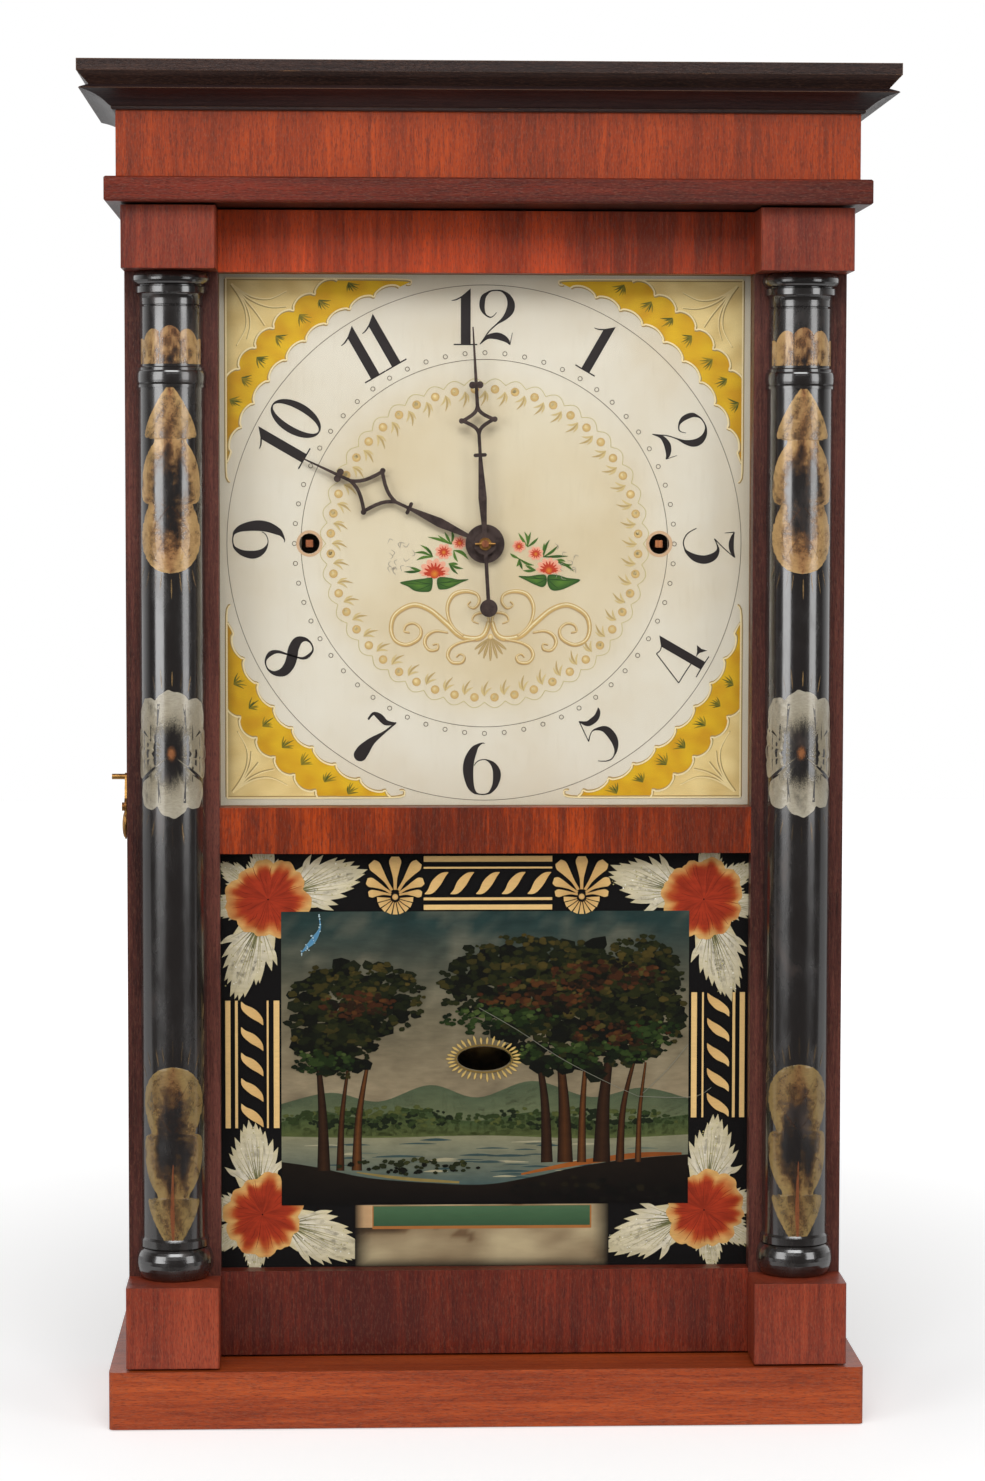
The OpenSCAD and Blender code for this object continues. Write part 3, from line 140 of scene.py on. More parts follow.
class Graph:
    """A short way to write the shader graph of a material or of the world."""

    def __init__(self, name: str, world: bool = False) -> None:
        """Starts a graph with an output node.

        Args:
            name: The name of the material or the world.
            world: Whether it is the world's.
        """
        self.owner = (bpy.data.worlds if world else bpy.data.materials).new(name)
        self.owner.use_nodes = True
        self.tree = self.owner.node_tree
        self.tree.nodes.clear()
        self.output = self.tree.nodes.new("ShaderNodeOutput" + ("World" if world else "Material"))

    def node(self, kind: str, inputs: dict | None = None, **settings: object) -> bpy.types.Node:
        """Adds a node.

        Args:
            kind: The node's type, without its ShaderNode prefix.
            inputs: A value or a socket for each named or numbered input.
            **settings: Properties of the node.

        Returns:
            The new node.
        """
        made = self.tree.nodes.new("ShaderNode" + kind)
        for key, value in settings.items():
            setattr(made, key, value)
        for key, value in (inputs or {}).items():
            if isinstance(value, Socket):
                self.tree.links.new(value, made.inputs[key])
            else:
                made.inputs[key].default_value = value
        return made

    def maths(self, how: str, a: object, b: object = 0.0, c: object = 0.0) -> Socket:
        """Adds a maths node that works on up to three values or sockets."""
        return self.node("Math", {0: a, 1: b, 2: c}, operation=how).outputs[0]

    def swing(self, value: Socket, amount: float, base: object) -> Socket:
        """Adds an amount of a noise's swing about its middle to a base value."""
        return self.maths("MULTIPLY_ADD", self.maths("SUBTRACT", value, 0.5), amount, base)

    def mapped(self, scale: tuple, shift: tuple = (0, 0, 0)) -> Socket:
        """Gives the object's own coordinates, scaled along X, Y and Z, per metre, and shifted."""
        place = self.node("TexCoord").outputs["Object"]
        return self.node("Mapping", {"Vector": place, "Location": shift, "Scale": scale}).outputs[0]

    def cloud(self, vector: Socket, detail: float = 3.0, rough: float = 0.55,
              warp: float = 0.0) -> Socket:
        """Adds soft noise of 0 to 1, with its octaves, the strength of the fine ones and its own bend."""
        return self.node("TexNoise", {"Vector": vector, "Scale": 1.0, "Detail": detail,
                                      "Roughness": rough, "Distortion": warp}).outputs[0]

    def ramp(self, value: Socket, stops: list[tuple]) -> Socket:
        """Turns a value into a colour.

        Args:
            value: The value's socket.
            stops: The place and the colour of each stop.

        Returns:
            The colour's socket.
        """
        made = self.node("ValToRGB", {0: value})
        line = made.color_ramp.elements
        while len(line) < len(stops):
            line.new(0.5)
        for at, (place, tint) in zip(line, stops):
            at.position = place
            at.color = (*tint[:3], 1.0)
        return made.outputs[0]

    def step(self, value: Socket, low: float, high: float) -> Socket:
        """Turns a value into 0 below one level and 1 above another, with a soft step between."""
        return self.node("MapRange", {0: value, 1: low, 2: high, 3: 0.0, 4: 1.0},
                         interpolation_type="SMOOTHSTEP").outputs[0]

    def mixed(self, share: object, a: object, b: object, how: str = "MIX") -> Socket:
        """Mixes two colours.

        Args:
            share: The share of the second.
            a: The first colour or socket.
            b: The second colour or socket.
            how: The way that they mix.

        Returns:
            The colour's socket.
        """
        def full(v: object) -> object:
            """Gives a plain colour its fourth value."""
            return (*v[:3], 1.0) if isinstance(v, tuple) else v

        made = self.node("Mix", {0: share, 6: full(a), 7: full(b)}, data_type="RGBA", blend_type=how)
        return made.outputs[2]

    def bump(self, height: Socket, depth: float, normal: object = None) -> Socket:
        """Turns a height into a normal.

        Args:
            height: The height's socket, 0 to 1.
            depth: The depth of the relief in metres.
            normal: A normal to bend, if any.

        Returns:
            The normal's socket.
        """
        inputs = {"Height": height, "Distance": depth, "Strength": 1.0}
        if normal is not None:
            inputs["Normal"] = normal
        return self.node("Bump", inputs).outputs[0]

    def surface(self, **inputs: object) -> bpy.types.Node:
        """Adds the main shader and joins it to the output.

        Args:
            **inputs: Values for its inputs, with _ for a blank in the name.

        Returns:
            The shader node.
        """
        named = {key.replace("_", " "): value for key, value in inputs.items()}
        return self.join(self.node("BsdfPrincipled", named))

    def join(self, shader: bpy.types.Node) -> bpy.types.Node:
        """Joins a shader to the output and gives it back."""
        self.tree.links.new(shader.outputs[0], self.output.inputs[0])
        return shader

    def veil(self, cover: object, under: bpy.types.Node, over: bpy.types.Node) -> None:
        """Joins two shaders to the output, the second with a share of cover over the first."""
        self.join(self.node("MixShader", {0: cover, 1: under.outputs[0], 2: over.outputs[0]}))


@dataclass(frozen=True)
class Wood:
    """A finish of wood with bands, streaks and pores. Its colours are display colours of 0 to 255."""

    name: str
    light: tuple
    mid: tuple
    dark: tuple
    grain: Grain = Grain.UPRIGHT
    gloss: float = 0.38
    bands: float = 1.0
    pores: float = 0.45
    bloom: float = 0.16
    band_scale: float = 26.0
    seed: float = 0.0
    # Colour of the lighter edges: rubbed finish in ragged patches, and a painted edge highlight in a thin
    # even line.
    worn: tuple | None = None
    worn_edge: float = 0.0006

    def make(self) -> Material:
        """Builds the material.

        Returns:
            The material.
        """
        g = Graph(self.name)

        def stretch(across: float, length: float) -> tuple:
            """Gives the scale of a noise that is drawn out along the grain."""
            return tuple(across if axis else length for axis in self.grain.value)

        shift = (self.seed, self.seed * 0.7, self.seed * 1.3)
        broad = g.cloud(g.mapped(stretch(self.band_scale, 2.6), shift), 2.0, 0.5, 0.6)
        streak = g.cloud(g.mapped(stretch(260, 7), shift), 3.0, 0.6)
        fine = g.cloud(g.mapped(stretch(900, 60), shift), 2.0, 0.6)
        pore = g.cloud(g.mapped(stretch(2200, 300), shift), 1.0, 0.5)
        spots = g.cloud(g.mapped((9, 9, 9), shift), 3.0, 0.5)
        value = 0.5
        for layer, amount in ((broad, 1.35 * self.bands), (streak, 0.75), (fine, 0.70), (spots, 0.45)):
            value = g.swing(layer, amount, value)
        dark = srgb(*self.dark)
        tint = g.ramp(value, [(0.16, dark), (0.48, srgb(*self.mid)), (0.82, srgb(*self.light))])
        holes = g.step(pore, 0.52, 0.68)
        tint = g.mixed(g.maths("MULTIPLY", holes, self.pores), tint, blend(dark, (0, 0, 0), 0.45))
        haze = g.cloud(g.mapped(stretch(1700, 420), (self.seed + 3, 1, 2)), 2.0, 0.7)
        tint = g.mixed(g.maths("MULTIPLY", g.step(haze, 0.50, 0.66), self.bloom), tint, srgb(140, 96, 72))
        soft = g.node("Bevel", {"Radius": 0.0006}, samples=3).outputs[0]
        # Lighter along the edges: the thin even line on every edge is a painted edge highlight, and the
        # ragged patches are rubbed finish.
        if self.worn is not None:
            wide = g.node("Bevel", {"Radius": self.worn_edge}, samples=6).outputs[0]
            flat = g.node("NewGeometry").outputs["True Normal"]
            same = g.node("VectorMath", {0: wide, 1: flat}, operation="DOT_PRODUCT").outputs["Value"]
            edge = g.maths("SUBTRACT", 1.0, same)
            ragged = g.cloud(g.mapped((70, 70, 140), shift), 4.0, 0.6)
            thin = g.maths("MULTIPLY", g.step(edge, 0.06, 0.22), 0.45)
            deep = g.maths("MULTIPLY", g.step(edge, 0.01, 0.12), g.step(ragged, 0.58, 0.74))
            tint = g.mixed(g.maths("MAXIMUM", thin, deep), tint, srgb(*self.worn))
        rough = g.maths("MULTIPLY_ADD", spots, 0.22, self.gloss - 0.08)
        relief = g.maths("MULTIPLY_ADD", holes, -0.6, streak)
        g.surface(Base_Color=tint, Roughness=rough, Normal=g.bump(relief, 0.00012, soft),
                  Coat_Weight=0.10, Coat_Roughness=0.22, Specular_IOR_Level=0.28)
        return g.owner


@dataclass(frozen=True)
class Metal:
    """A finish of old metal with tarnish and small pits. Its colours are display colours of 0 to 255."""

    name: str
    tint: tuple
    stain: tuple
    rough: float = 0.38
    metallic: float = 1.0
    scale: float = 120.0
    pits: float = 0.00006

    def make(self) -> Material:
        """Builds the material.

        Returns:
            The material.
        """
        g = Graph(self.name)
        blot = g.cloud(g.mapped((self.scale,) * 3), 4.0, 0.6, 0.3)
        grit = g.cloud(g.mapped((self.scale * 9,) * 3), 2.0, 0.6)
        tint = g.mixed(g.step(blot, 0.38, 0.66), srgb(*self.tint), srgb(*self.stain))
        rough = g.maths("MULTIPLY_ADD", blot, 0.35, self.rough - 0.12)
        g.surface(Base_Color=tint, Roughness=rough, Metallic=self.metallic,
                  Normal=g.bump(grit, self.pits))
        return g.owner


@dataclass(frozen=True)
class Glass:
    """Thin old window glass: it lets the picture through and mirrors a little."""

    name: str
    mirror: float
    tint: tuple = (0.985, 0.99, 0.985)
    rough: float = 0.02

    def make(self) -> Material:
        """Builds the material.

        Returns:
            The material.
        """
        g = Graph(self.name)
        wave = g.cloud(g.mapped((24, 24, 9)), 1.0, 0.5)
        shine = g.node("BsdfGlossy", {"Roughness": self.rough, "Normal": g.bump(wave, 0.0006)})
        facing = g.node("LayerWeight", {"Blend": 0.5}).outputs["Facing"]
        share = g.maths("MULTIPLY_ADD", g.maths("POWER", facing, 4.0), 0.7, self.mirror)
        g.veil(share, g.node("BsdfTransparent", {0: (*self.tint, 1.0)}), shine)
        return g.owner


@dataclass(frozen=True)
class Paint:
    """Brushed paint whose colour and cover come from the mesh."""

    name: str
    rough: float = 0.45
    metallic: float = 0.0
    powder: float = 0.0
    wear: float = 0.0
    grain: float = 900.0
    variation: float = 0.12
    window: tuple[float, float, float, float] | None = None
    coat: float = 0.1
    shine: float = 0.35
    relief: float = 0.00004

    def make(self) -> Material:
        """Builds the material.

        Returns:
            The material.
        """
        g = Graph(self.name)
        look = g.node("Attribute", attribute_name="tint")
        brush = g.cloud(g.mapped((self.grain * 0.25, self.grain, self.grain)), 3.0, 0.6, 0.2)
        patch = g.cloud(g.mapped((60, 60, 60)), 3.0, 0.5)
        dim = g.swing(patch, self.variation, g.swing(brush, 2 * self.variation, 1.0))
        grey = g.node("CombineColor", {0: dim, 1: dim, 2: dim}).outputs[0]
        tint = g.mixed(1.0, look.outputs["Color"], grey, "MULTIPLY")
        shader = g.surface(Base_Color=tint, Roughness=self.rough, Metallic=self.metallic,
                           Coat_Weight=self.coat, Coat_Roughness=0.15, Specular_IOR_Level=self.shine,
                           Normal=g.bump(brush, self.relief))
        cover = look.outputs["Alpha"]
        if self.powder > 0:
            dust = g.cloud(g.mapped((self.grain * 1.6,) * 3), 2.0, 0.7)
            spread = g.swing(dust, 2 * self.powder, cover)
            rub = g.cloud(g.mapped((95, 95, 55)), 4.0, 0.65, 0.2)
            lost = g.maths("MULTIPLY_ADD", g.step(rub, 0.54, 0.74), -self.wear, 1.0)
            cover = g.maths("MULTIPLY", g.step(spread, 0.22, 0.86), g.step(cover, 0.0, 0.12))
            cover = g.maths("MULTIPLY", cover, lost)
        if self.window is not None:
            x, z, a, b = self.window
            place = g.node("SeparateXYZ", {0: g.node("TexCoord").outputs["Object"]})
            u = g.maths("DIVIDE", g.maths("SUBTRACT", place.outputs[0], x), a)
            v = g.maths("DIVIDE", g.maths("SUBTRACT", place.outputs[2], z), b)
            ring = g.maths("ADD", g.maths("MULTIPLY", u, u), g.maths("MULTIPLY", v, v))
            cover = g.maths("MULTIPLY", cover, g.step(ring, 0.94, 1.06))
        g.veil(cover, g.node("BsdfTransparent"), shader)
        return g.owner


def catmull(points: list[tuple], steps: int, closed: bool = False) -> list[tuple]:
    """Samples a smooth line through points of any number of values.

    Args:
        points: The points that it passes.
        steps: The samples per span.
        closed: Whether the line meets its start.

    Returns:
        The samples.
    """
    n = len(points)
    if n < 3:
        return [blend(points[0], points[1], i / steps) for i in range(steps + 1)]
    spans = n if closed else n - 1
    found = []
    for i in range(spans):
        pick = [(i + k) % n if closed else min(max(i + k, 0), n - 1) for k in (-1, 0, 1, 2)]
        p0, p1, p2, p3 = (points[j] for j in pick)
        for s in range(steps):
            t = s / steps
            found.append(tuple(
                0.5 * (2 * b + (c - a) * t + (2 * a - 5 * b + 4 * c - d) * t * t
                       + (3 * b - a - 3 * c + d) * t ** 3)
                for a, b, c, d in zip(p0, p1, p2, p3)))
    found.append(points[0] if closed else points[-1])
    return found


@dataclass(frozen=True)
class Place:
    """Where a painted motif stands: a shift, a turn and a scale in the picture plane."""

    x: float = 0.0
    z: float = 0.0
    turn: float = 0.0
    scale: float = 1.0
    flip: bool = False

    def put(self, p: tuple) -> tuple[float, float]:
        """Gives a point of the motif, across and up, in the picture plane."""
        u = -p[0] if self.flip else p[0]
        c, s = math.cos(self.turn), math.sin(self.turn)
        return (self.x + self.scale * (u * c - p[1] * s), self.z + self.scale * (u * s + p[1] * c))


def place_object(name: str, data: object) -> bpy.types.Object:
    """Puts a mesh, a lamp or a camera in the scene."""
    made = bpy.data.objects.new(name, data)
    bpy.context.scene.collection.objects.link(made)
    return made


class Painter:
    """Collects painted shapes of one colour layer and makes one mesh of them.

    Shapes are given in millimetres across and up.
    """

    def __init__(self) -> None:
        """Starts with nothing painted."""
        self.points: list[tuple[float, float]] = []
        self.tints: list[tuple] = []
        self.faces: list[tuple[int, ...]] = []
        self.levels: list[int] = []
        self.level = 0
        self.place = Place()

    def spot(self, p: tuple, tint: tuple) -> int:
        """Adds a point.

        Args:
            p: The point, across and up.
            tint: Its colour, with its cover as a fourth value if it isn't full.

        Returns:
            The point's number.
        """
        self.points.append(self.place.put(p))
        self.tints.append(tuple(tint[:3]) + (tint[3] if len(tint) > 3 else 1.0,))
        self.levels.append(self.level)
        return len(self.points) - 1

    def stroke(self, path: list[tuple], tint: tuple, tail: tuple | None = None, edge: tuple | None = None,
               steps: int = 6, closed: bool = False, across: int = 2) -> None:
        """Paints a brush stroke whose width follows its path.

        Args:
            path: Points of across, up and half width.
            tint: The colour at the start.
            tail: The colour at the end, if it differs.
            edge: The colour at the sides, if it differs.
            steps: The samples per span.
            closed: Whether the stroke meets its start.
            across: The cells across the stroke.
        """
        self.level += 1
        line = catmull(path, steps, closed)
        n = len(line)
        rows = []
        for i, (x, z, w) in enumerate(line):
            a = line[max(i - 1, 0)] if not closed else line[(i - 1) % (n - 1)]
            b = line[min(i + 1, n - 1)] if not closed else line[(i + 1) % (n - 1)]
            dx, dz = b[0] - a[0], b[1] - a[1]
            size = math.hypot(dx, dz) or 1.0
            nx, nz = -dz / size, dx / size
            core = blend(tint, tail, i / (n - 1)) if tail else tint
            side = edge or core
            row = []
            for k in range(across + 1):
                s = 2 * k / across - 1
                row.append(self.spot((x + nx * w * s, z + nz * w * s), blend(core, side, abs(s))))
            rows.append(row)
        for low, high in zip(rows, rows[1:]):
            for k in range(across):
                self.faces.append((low[k], high[k], high[k + 1], low[k + 1]))

    def fan(self, outline: list[tuple], centre: tuple, core: tuple, rim: tuple, rings: int = 1) -> None:
        """Paints a shape that shades from its centre to its outline.

        Args:
            outline: The closed outline.
            centre: The middle.
            core: The colour in the middle.
            rim: The colour at the outline.
            rings: The number of rings between them.
        """
        self.level += 1
        n = len(outline)
        hub = self.spot(centre, core)
        last = None
        for k in range(1, rings + 1):
            t = k / rings
            row = [self.spot(between(centre, p, t), blend(core, rim, t)) for p in outline]
            for i in range(n):
                j = (i + 1) % n
                if last is None:
                    self.faces.append((hub, row[i], row[j]))
                else:
                    self.faces.append((last[i], row[i], row[j], last[j]))
            last = row

    def fill(self, loops: list[list[tuple]], tint: tuple) -> None:
        """Paints a flat shape, with holes if there is more than one loop.

        Args:
            loops: The outline and its holes.
            tint: The colour.
        """
        self.level += 1
        base = len(self.points)
        for loop in loops:
            for p in loop:
                self.spot(p, tint)
        sets = [[Vector((p[0], p[1], 0.0)) for p in loop] for loop in loops]
        for tri in tessellate_polygon(sets):
            self.faces.append(tuple(base + i for i in tri))

    def disc(self, x: float, z: float, r: float, core: tuple, rim: tuple | None = None, n: int = 20) -> None:
        """Paints a round spot of n sides that shades from its middle to its rim."""
        self.fan([around(x, z, a, r) for a in angles(n)], (x, z), core, rim or core)

    def ring(self, x: float, z: float, r: float, w: float, tint: tuple, n: int = 96) -> None:
        """Paints a thin circle of n sides whose line is w wide on each side."""
        self.stroke([(*around(x, z, a, r), w) for a in angles(n)], tint, steps=1, closed=True, across=1)

    def rows(self, lines: list[list[tuple]], tints: list) -> None:
        """Paints a shape given as rows of points, shaded across.

        Args:
            lines: The rows, each with the same number of points.
            tints: The colour of each column of points, or such a list for each row.
        """
        self.level += 1
        each = tints if isinstance(tints[0], list) else [tints] * len(lines)
        made = [[self.spot(p, tint) for p, tint in zip(line, row)] for line, row in zip(lines, each)]
        for low, high in zip(made, made[1:]):
            for k in range(len(low) - 1):
                self.faces.append((low[k], low[k + 1], high[k + 1], high[k]))

    def sheet(self, box: tuple, cols: int, rows: int, colour: Callable[[float, float], tuple]) -> None:
        """Paints a rectangle of cells.

        Args:
            box: Its left and right edge, then its lower and upper edge.
            cols: The number of cells across.
            rows: The number of cells up.
            colour: Gives the colour at a point.
        """
        x0, x1, z0, z1 = box
        lines = [[(x0 + (x1 - x0) * i / cols, z0 + (z1 - z0) * j / rows) for i in range(cols + 1)]
                 for j in range(rows + 1)]
        self.rows(lines, [[colour(x, z) for x, z in line] for line in lines])

    def build(self, name: str, y: float, material: Material, body: str, slot: str,
              wrap: tuple | None = None, step: float = 8e-7) -> bpy.types.Object:
        """Makes the mesh. Each shape lies a hair in front of the one painted before it.

        Args:
            name: The name of the piece.
            y: The plane that it lies in, in metres.
            material: Its material.
            body: The body that it rides on.
            slot: Not used.
            wrap: A column's axis X, axis Y and radius, in metres, if the paint goes round it.
            step: How far each shape lies in front of the last, in metres.

        Returns:
            The new object.
        """
        mesh = bpy.data.meshes.new(name)
        if wrap is None:
            spots = [(p[0] * MM, y - k * step, p[1] * MM) for p, k in zip(self.points, self.levels)]
        else:
            cx, cy, r = wrap
            spots = []
            for p, k in zip(self.points, self.levels):
                turn, out = p[0] * MM / r, r + k * step
                spots.append((cx + out * math.sin(turn), cy - out * math.cos(turn), p[1] * MM))
        mesh.from_pydata(spots, [], self.faces)
        layer = mesh.color_attributes.new("tint", "FLOAT_COLOR", "POINT")
        layer.data.foreach_set("color", [v for tint in self.tints for v in tint])
        mesh.materials.append(material)
        mesh.update()
        made = place_object(name, mesh)
        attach(made, body)
        LOG.info("%s: %d faces on %s", name, len(self.faces), body)
        return made


@dataclass(frozen=True)
class Tints:
    """The colours of the clock, as they look in daylight."""

    cream: tuple = srgb(228, 217, 192)
    ink: tuple = srgb(44, 37, 37)
    thin_ink: tuple = srgb(118, 106, 90)
    yellow: tuple = srgb(230, 183, 32)
    deep_yellow: tuple = srgb(214, 157, 24)
    tuft: tuple = srgb(62, 82, 32)
    field: tuple = srgb(252, 226, 160)
    field_dark: tuple = srgb(228, 196, 128)
    # The raised gesso lines' pale colour, brightened into a painted highlight.
    gesso: tuple = srgb(250, 232, 188)
    gilt: tuple = srgb(226, 198, 126)
    flower_dark: tuple = srgb(112, 34, 20)
    bronze: tuple = srgb(184, 148, 96)
    copper: tuple = srgb(146, 92, 54)
    silver: tuple = srgb(176, 168, 150)


TINT = Tints()


@dataclass
class Numerals:
    """Bold clock numerals with hairline serifs, drawn with a broad brush.

    Each figure is one unit high. A path's points are across, up and half width. The slips are how
    far an hour's number stands clockwise of its place, in millimetres.
    """

    height: float = 28.3
    tall: float = 29.8
    radius: float = 122.8
    thin: float = 0.018
    gap: float = 0.10
    usual: float = 0.58
    widths: dict[str, float] = field(default_factory=lambda: {
        "1": 0.34, "2": 0.62, "3": 0.69, "4": 0.82, "5": 0.55, "6": 0.73, "9": 0.73})
    slips: dict[int, float] = field(default_factory=lambda: {
        2: 2.8, 3: 1.2, 4: 1.0, 5: -2.4, 6: 1.4, 9: 2.2, 10: 0.8})

    def ring(self, x: float, z: float, rx: float, rz: float, thick: float) -> list[tuple]:
        """Gives the path of a bowl that is thick at its sides, from its middle and its half sizes."""
        hair = self.thin * 0.7
        return [(*around(x, z, a, rx, rz), hair + (thick - hair) * abs(math.cos(a)) ** 1.4)
                for a in angles(24)]

    def paint(self, brush: Painter, figure: str, x: float) -> None:
        """Paints one figure.

        Args:
            brush: The painter, with its place set.
            figure: The figure, 0 to 9.
            x: Its left side.
        """
        ink, t = TINT.ink, self.thin * 1000

        def line(*points: tuple) -> None:
            """Paints a stroke of the figure, given in thousandths of its height."""
            brush.stroke([(x + a / 1000, b / 1000, w / 1000) for a, b, w in points], ink, steps=5)

        def slab(*points: tuple) -> None:
            """Fills an outline of the figure, given in thousandths of its height."""
            brush.fill([[(x + a / 1000, b / 1000) for a, b in points]], ink)

        if figure == "0":
            brush.stroke(self.ring(x + 0.29, 0.5, 0.225, 0.485, 0.064), ink, steps=2, closed=True)
        elif figure == "1":
            slab((90, 0), (268, 0), (268, 1020), (90, 870))
            line((110, 870, 14), (0, 815, 12), (-80, 800, 6))
            line((-40, 4, 12), (170, 4, 12), (390, 4, 12))
        elif figure == "2":
            line((300, 585, 6), (240, 520, 8), (180, 500, 12), (100, 545, 16), (50, 630, 38), (35, 730, 50),
                 (60, 860, 45), (130, 935, 24), (210, 978, 13), (340, 985, 13), (430, 955, 22),
                 (520, 870, 45), (565, 740, 68), (540, 610, 70), (440, 480, 40), (310, 380, 14),
                 (170, 250, 11), (70, 110, 10), (0, 10, 10))
            line((0, 12, 8), (130, 135, 35), (290, 162, 62), (410, 130, 60), (500, 70, 38), (547, 0, 10))
            line((547, 10, 7), (590, 220, 5))
        elif figure == "3":
            line((73, 985, 8), (180, 945, 35), (310, 925, 50), (440, 940, 40), (565, 1000, 8))
            line((75, 980, 10), (90, 800, 6))
            line((560, 990, 9), (400, 800, 9), (200, 597, 10))
            line((200, 597, 10), (320, 652, 12), (430, 668, 32), (545, 580, 70), (604, 414, 82),
                 (570, 230, 70), (470, 80, 35), (385, 22, 14), (250, 0, 11), (100, 80, 10), (0, 250, 8))
        elif figure == "4":
            slab((437, 0), (608, 0), (608, 1030), (437, 890))
            line((440, 885, 10), (360, 870, 10), (272, 900, 10))
            line((272, 900, 10), (136, 570, 10), (0, 240, 10))
            line((0, 240, 10), (220, 235, 10), (450, 220, 10))
            slab((600, 205), (700, 185), (820, 75), (790, 190), (810, 306), (700, 235))
            line((265, 4, 10), (500, 4, 12), (735, -10, 10))
        elif figure == "5":
            line((57, 953, 10), (175, 838, 50), (300, 832, 62), (400, 860, 55), (480, 930, 38),
                 (513, 1000, 8))
            line((62, 950, 10), (45, 730, 9), (30, 522, 9))
            line((30, 522, 9), (100, 600, 9), (200, 665, 10), (330, 635, 35), (435, 550, 70), (475, 390, 78),
                 (462, 240, 62), (400, 110, 30), (320, 40, 13), (240, 6, 11), (130, 25, 10), (0, 105, 7))
        elif figure in "69":
            six = ((420, 985, 8), (370, 990, 12), (280, 940, 35), (210, 860, 70), (125, 667, 97),
                   (100, 444, 100), (143, 178, 70), (222, 44, 35), (295, 7, 14), (380, -4, 12), (462, 7, 14),
                   (533, 44, 28), (622, 178, 55), (658, 356, 76), (636, 489, 67), (564, 600, 40),
                   (451, 667, 12), (351, 667, 9), (262, 622, 9), (218, 556, 7))
            line(*(six if figure == "6" else [(730 - a, 1000 - b, w) for a, b, w in six]))
        elif figure == "7":
            line((40, 780, t), (70, 930, 30), (200, 940, 60), (360, 900, 55), (500, 960, 25), (540, 1000, 12))
            line((530, 980, t), (430, 720, 25), (310, 460, 70), (260, 240, 120), (250, 110, 125))
            brush.disc(x + 0.25, 0.115, 0.128, ink)
        elif figure == "8":
            line((470, 800, 35), (420, 940, t), (290, 985, t * 0.8), (160, 930, 35), (115, 790, 85),
                 (200, 640, 100), (330, 530, 105), (440, 400, 100), (490, 240, 85), (420, 80, 40),
                 (280, 15, t * 0.8), (130, 60, t), (60, 210, 45), (100, 350, 30), (220, 470, t),
                 (360, 600, t * 0.8), (450, 700, 25), (470, 800, 35))

    def paint_hour(self, brush: Painter, hour: int, centre: tuple[float, float]) -> None:
        """Paints the number of an hour in its place on the chapter ring.

        Args:
            brush: The painter.
            hour: The hour, 1 to 12.
            centre: The dial's middle, across and up.
        """
        text = str(hour)
        spans = [self.widths.get(c, self.usual) for c in text]
        width = sum(spans) + self.gap * (len(text) - 1)
        angle = math.radians(30 * hour)
        turn = -angle + (math.pi if 4 <= hour <= 8 else 0.0)
        slip = self.slips.get(hour, 0.0)
        x, z = towards(*centre, angle, self.radius)
        x, z = x + slip * math.cos(angle), z - slip * math.sin(angle)
        size = self.tall if hour >= 10 else self.height
        corner = Place(x, z, turn, size).put((-width / 2, -0.5))
        brush.place = Place(*corner, turn, size)
        at = 0.0
        for figure, span in zip(text, spans):
            self.paint(brush, figure, at)
            at += span + self.gap
        brush.place = Place()


def blade_path(root: tuple, a: float, far: float, middle: float, bend: float, widths: tuple) -> list[tuple]:
    """Gives a small pointed stroke of three points that grows from a root and bends."""
    return [(*root, widths[0]), (*towards(*root, a, far * middle), widths[1]),
            (*towards(*root, a + bend, far), widths[2])]


def even_points(path: list[tuple], count: int) -> list[tuple]:
    """Walks a path in even steps.

    Args:
        path: The points of the path.
        count: The number of steps.

    Returns:
        The points at the ends of the steps.
    """
    marks = [0.0]
    for p, q in zip(path, path[1:]):
        marks.append(marks[-1] + math.dist(p, q))
    found, k = [], 0
    for i in range(count + 1):
        d = marks[-1] * i / count
        while k < len(path) - 2 and marks[k + 1] < d:
            k += 1
        found.append(between(path[k], path[k + 1], (d - marks[k]) / max(marks[k + 1] - marks[k], 1e-9)))
    return found


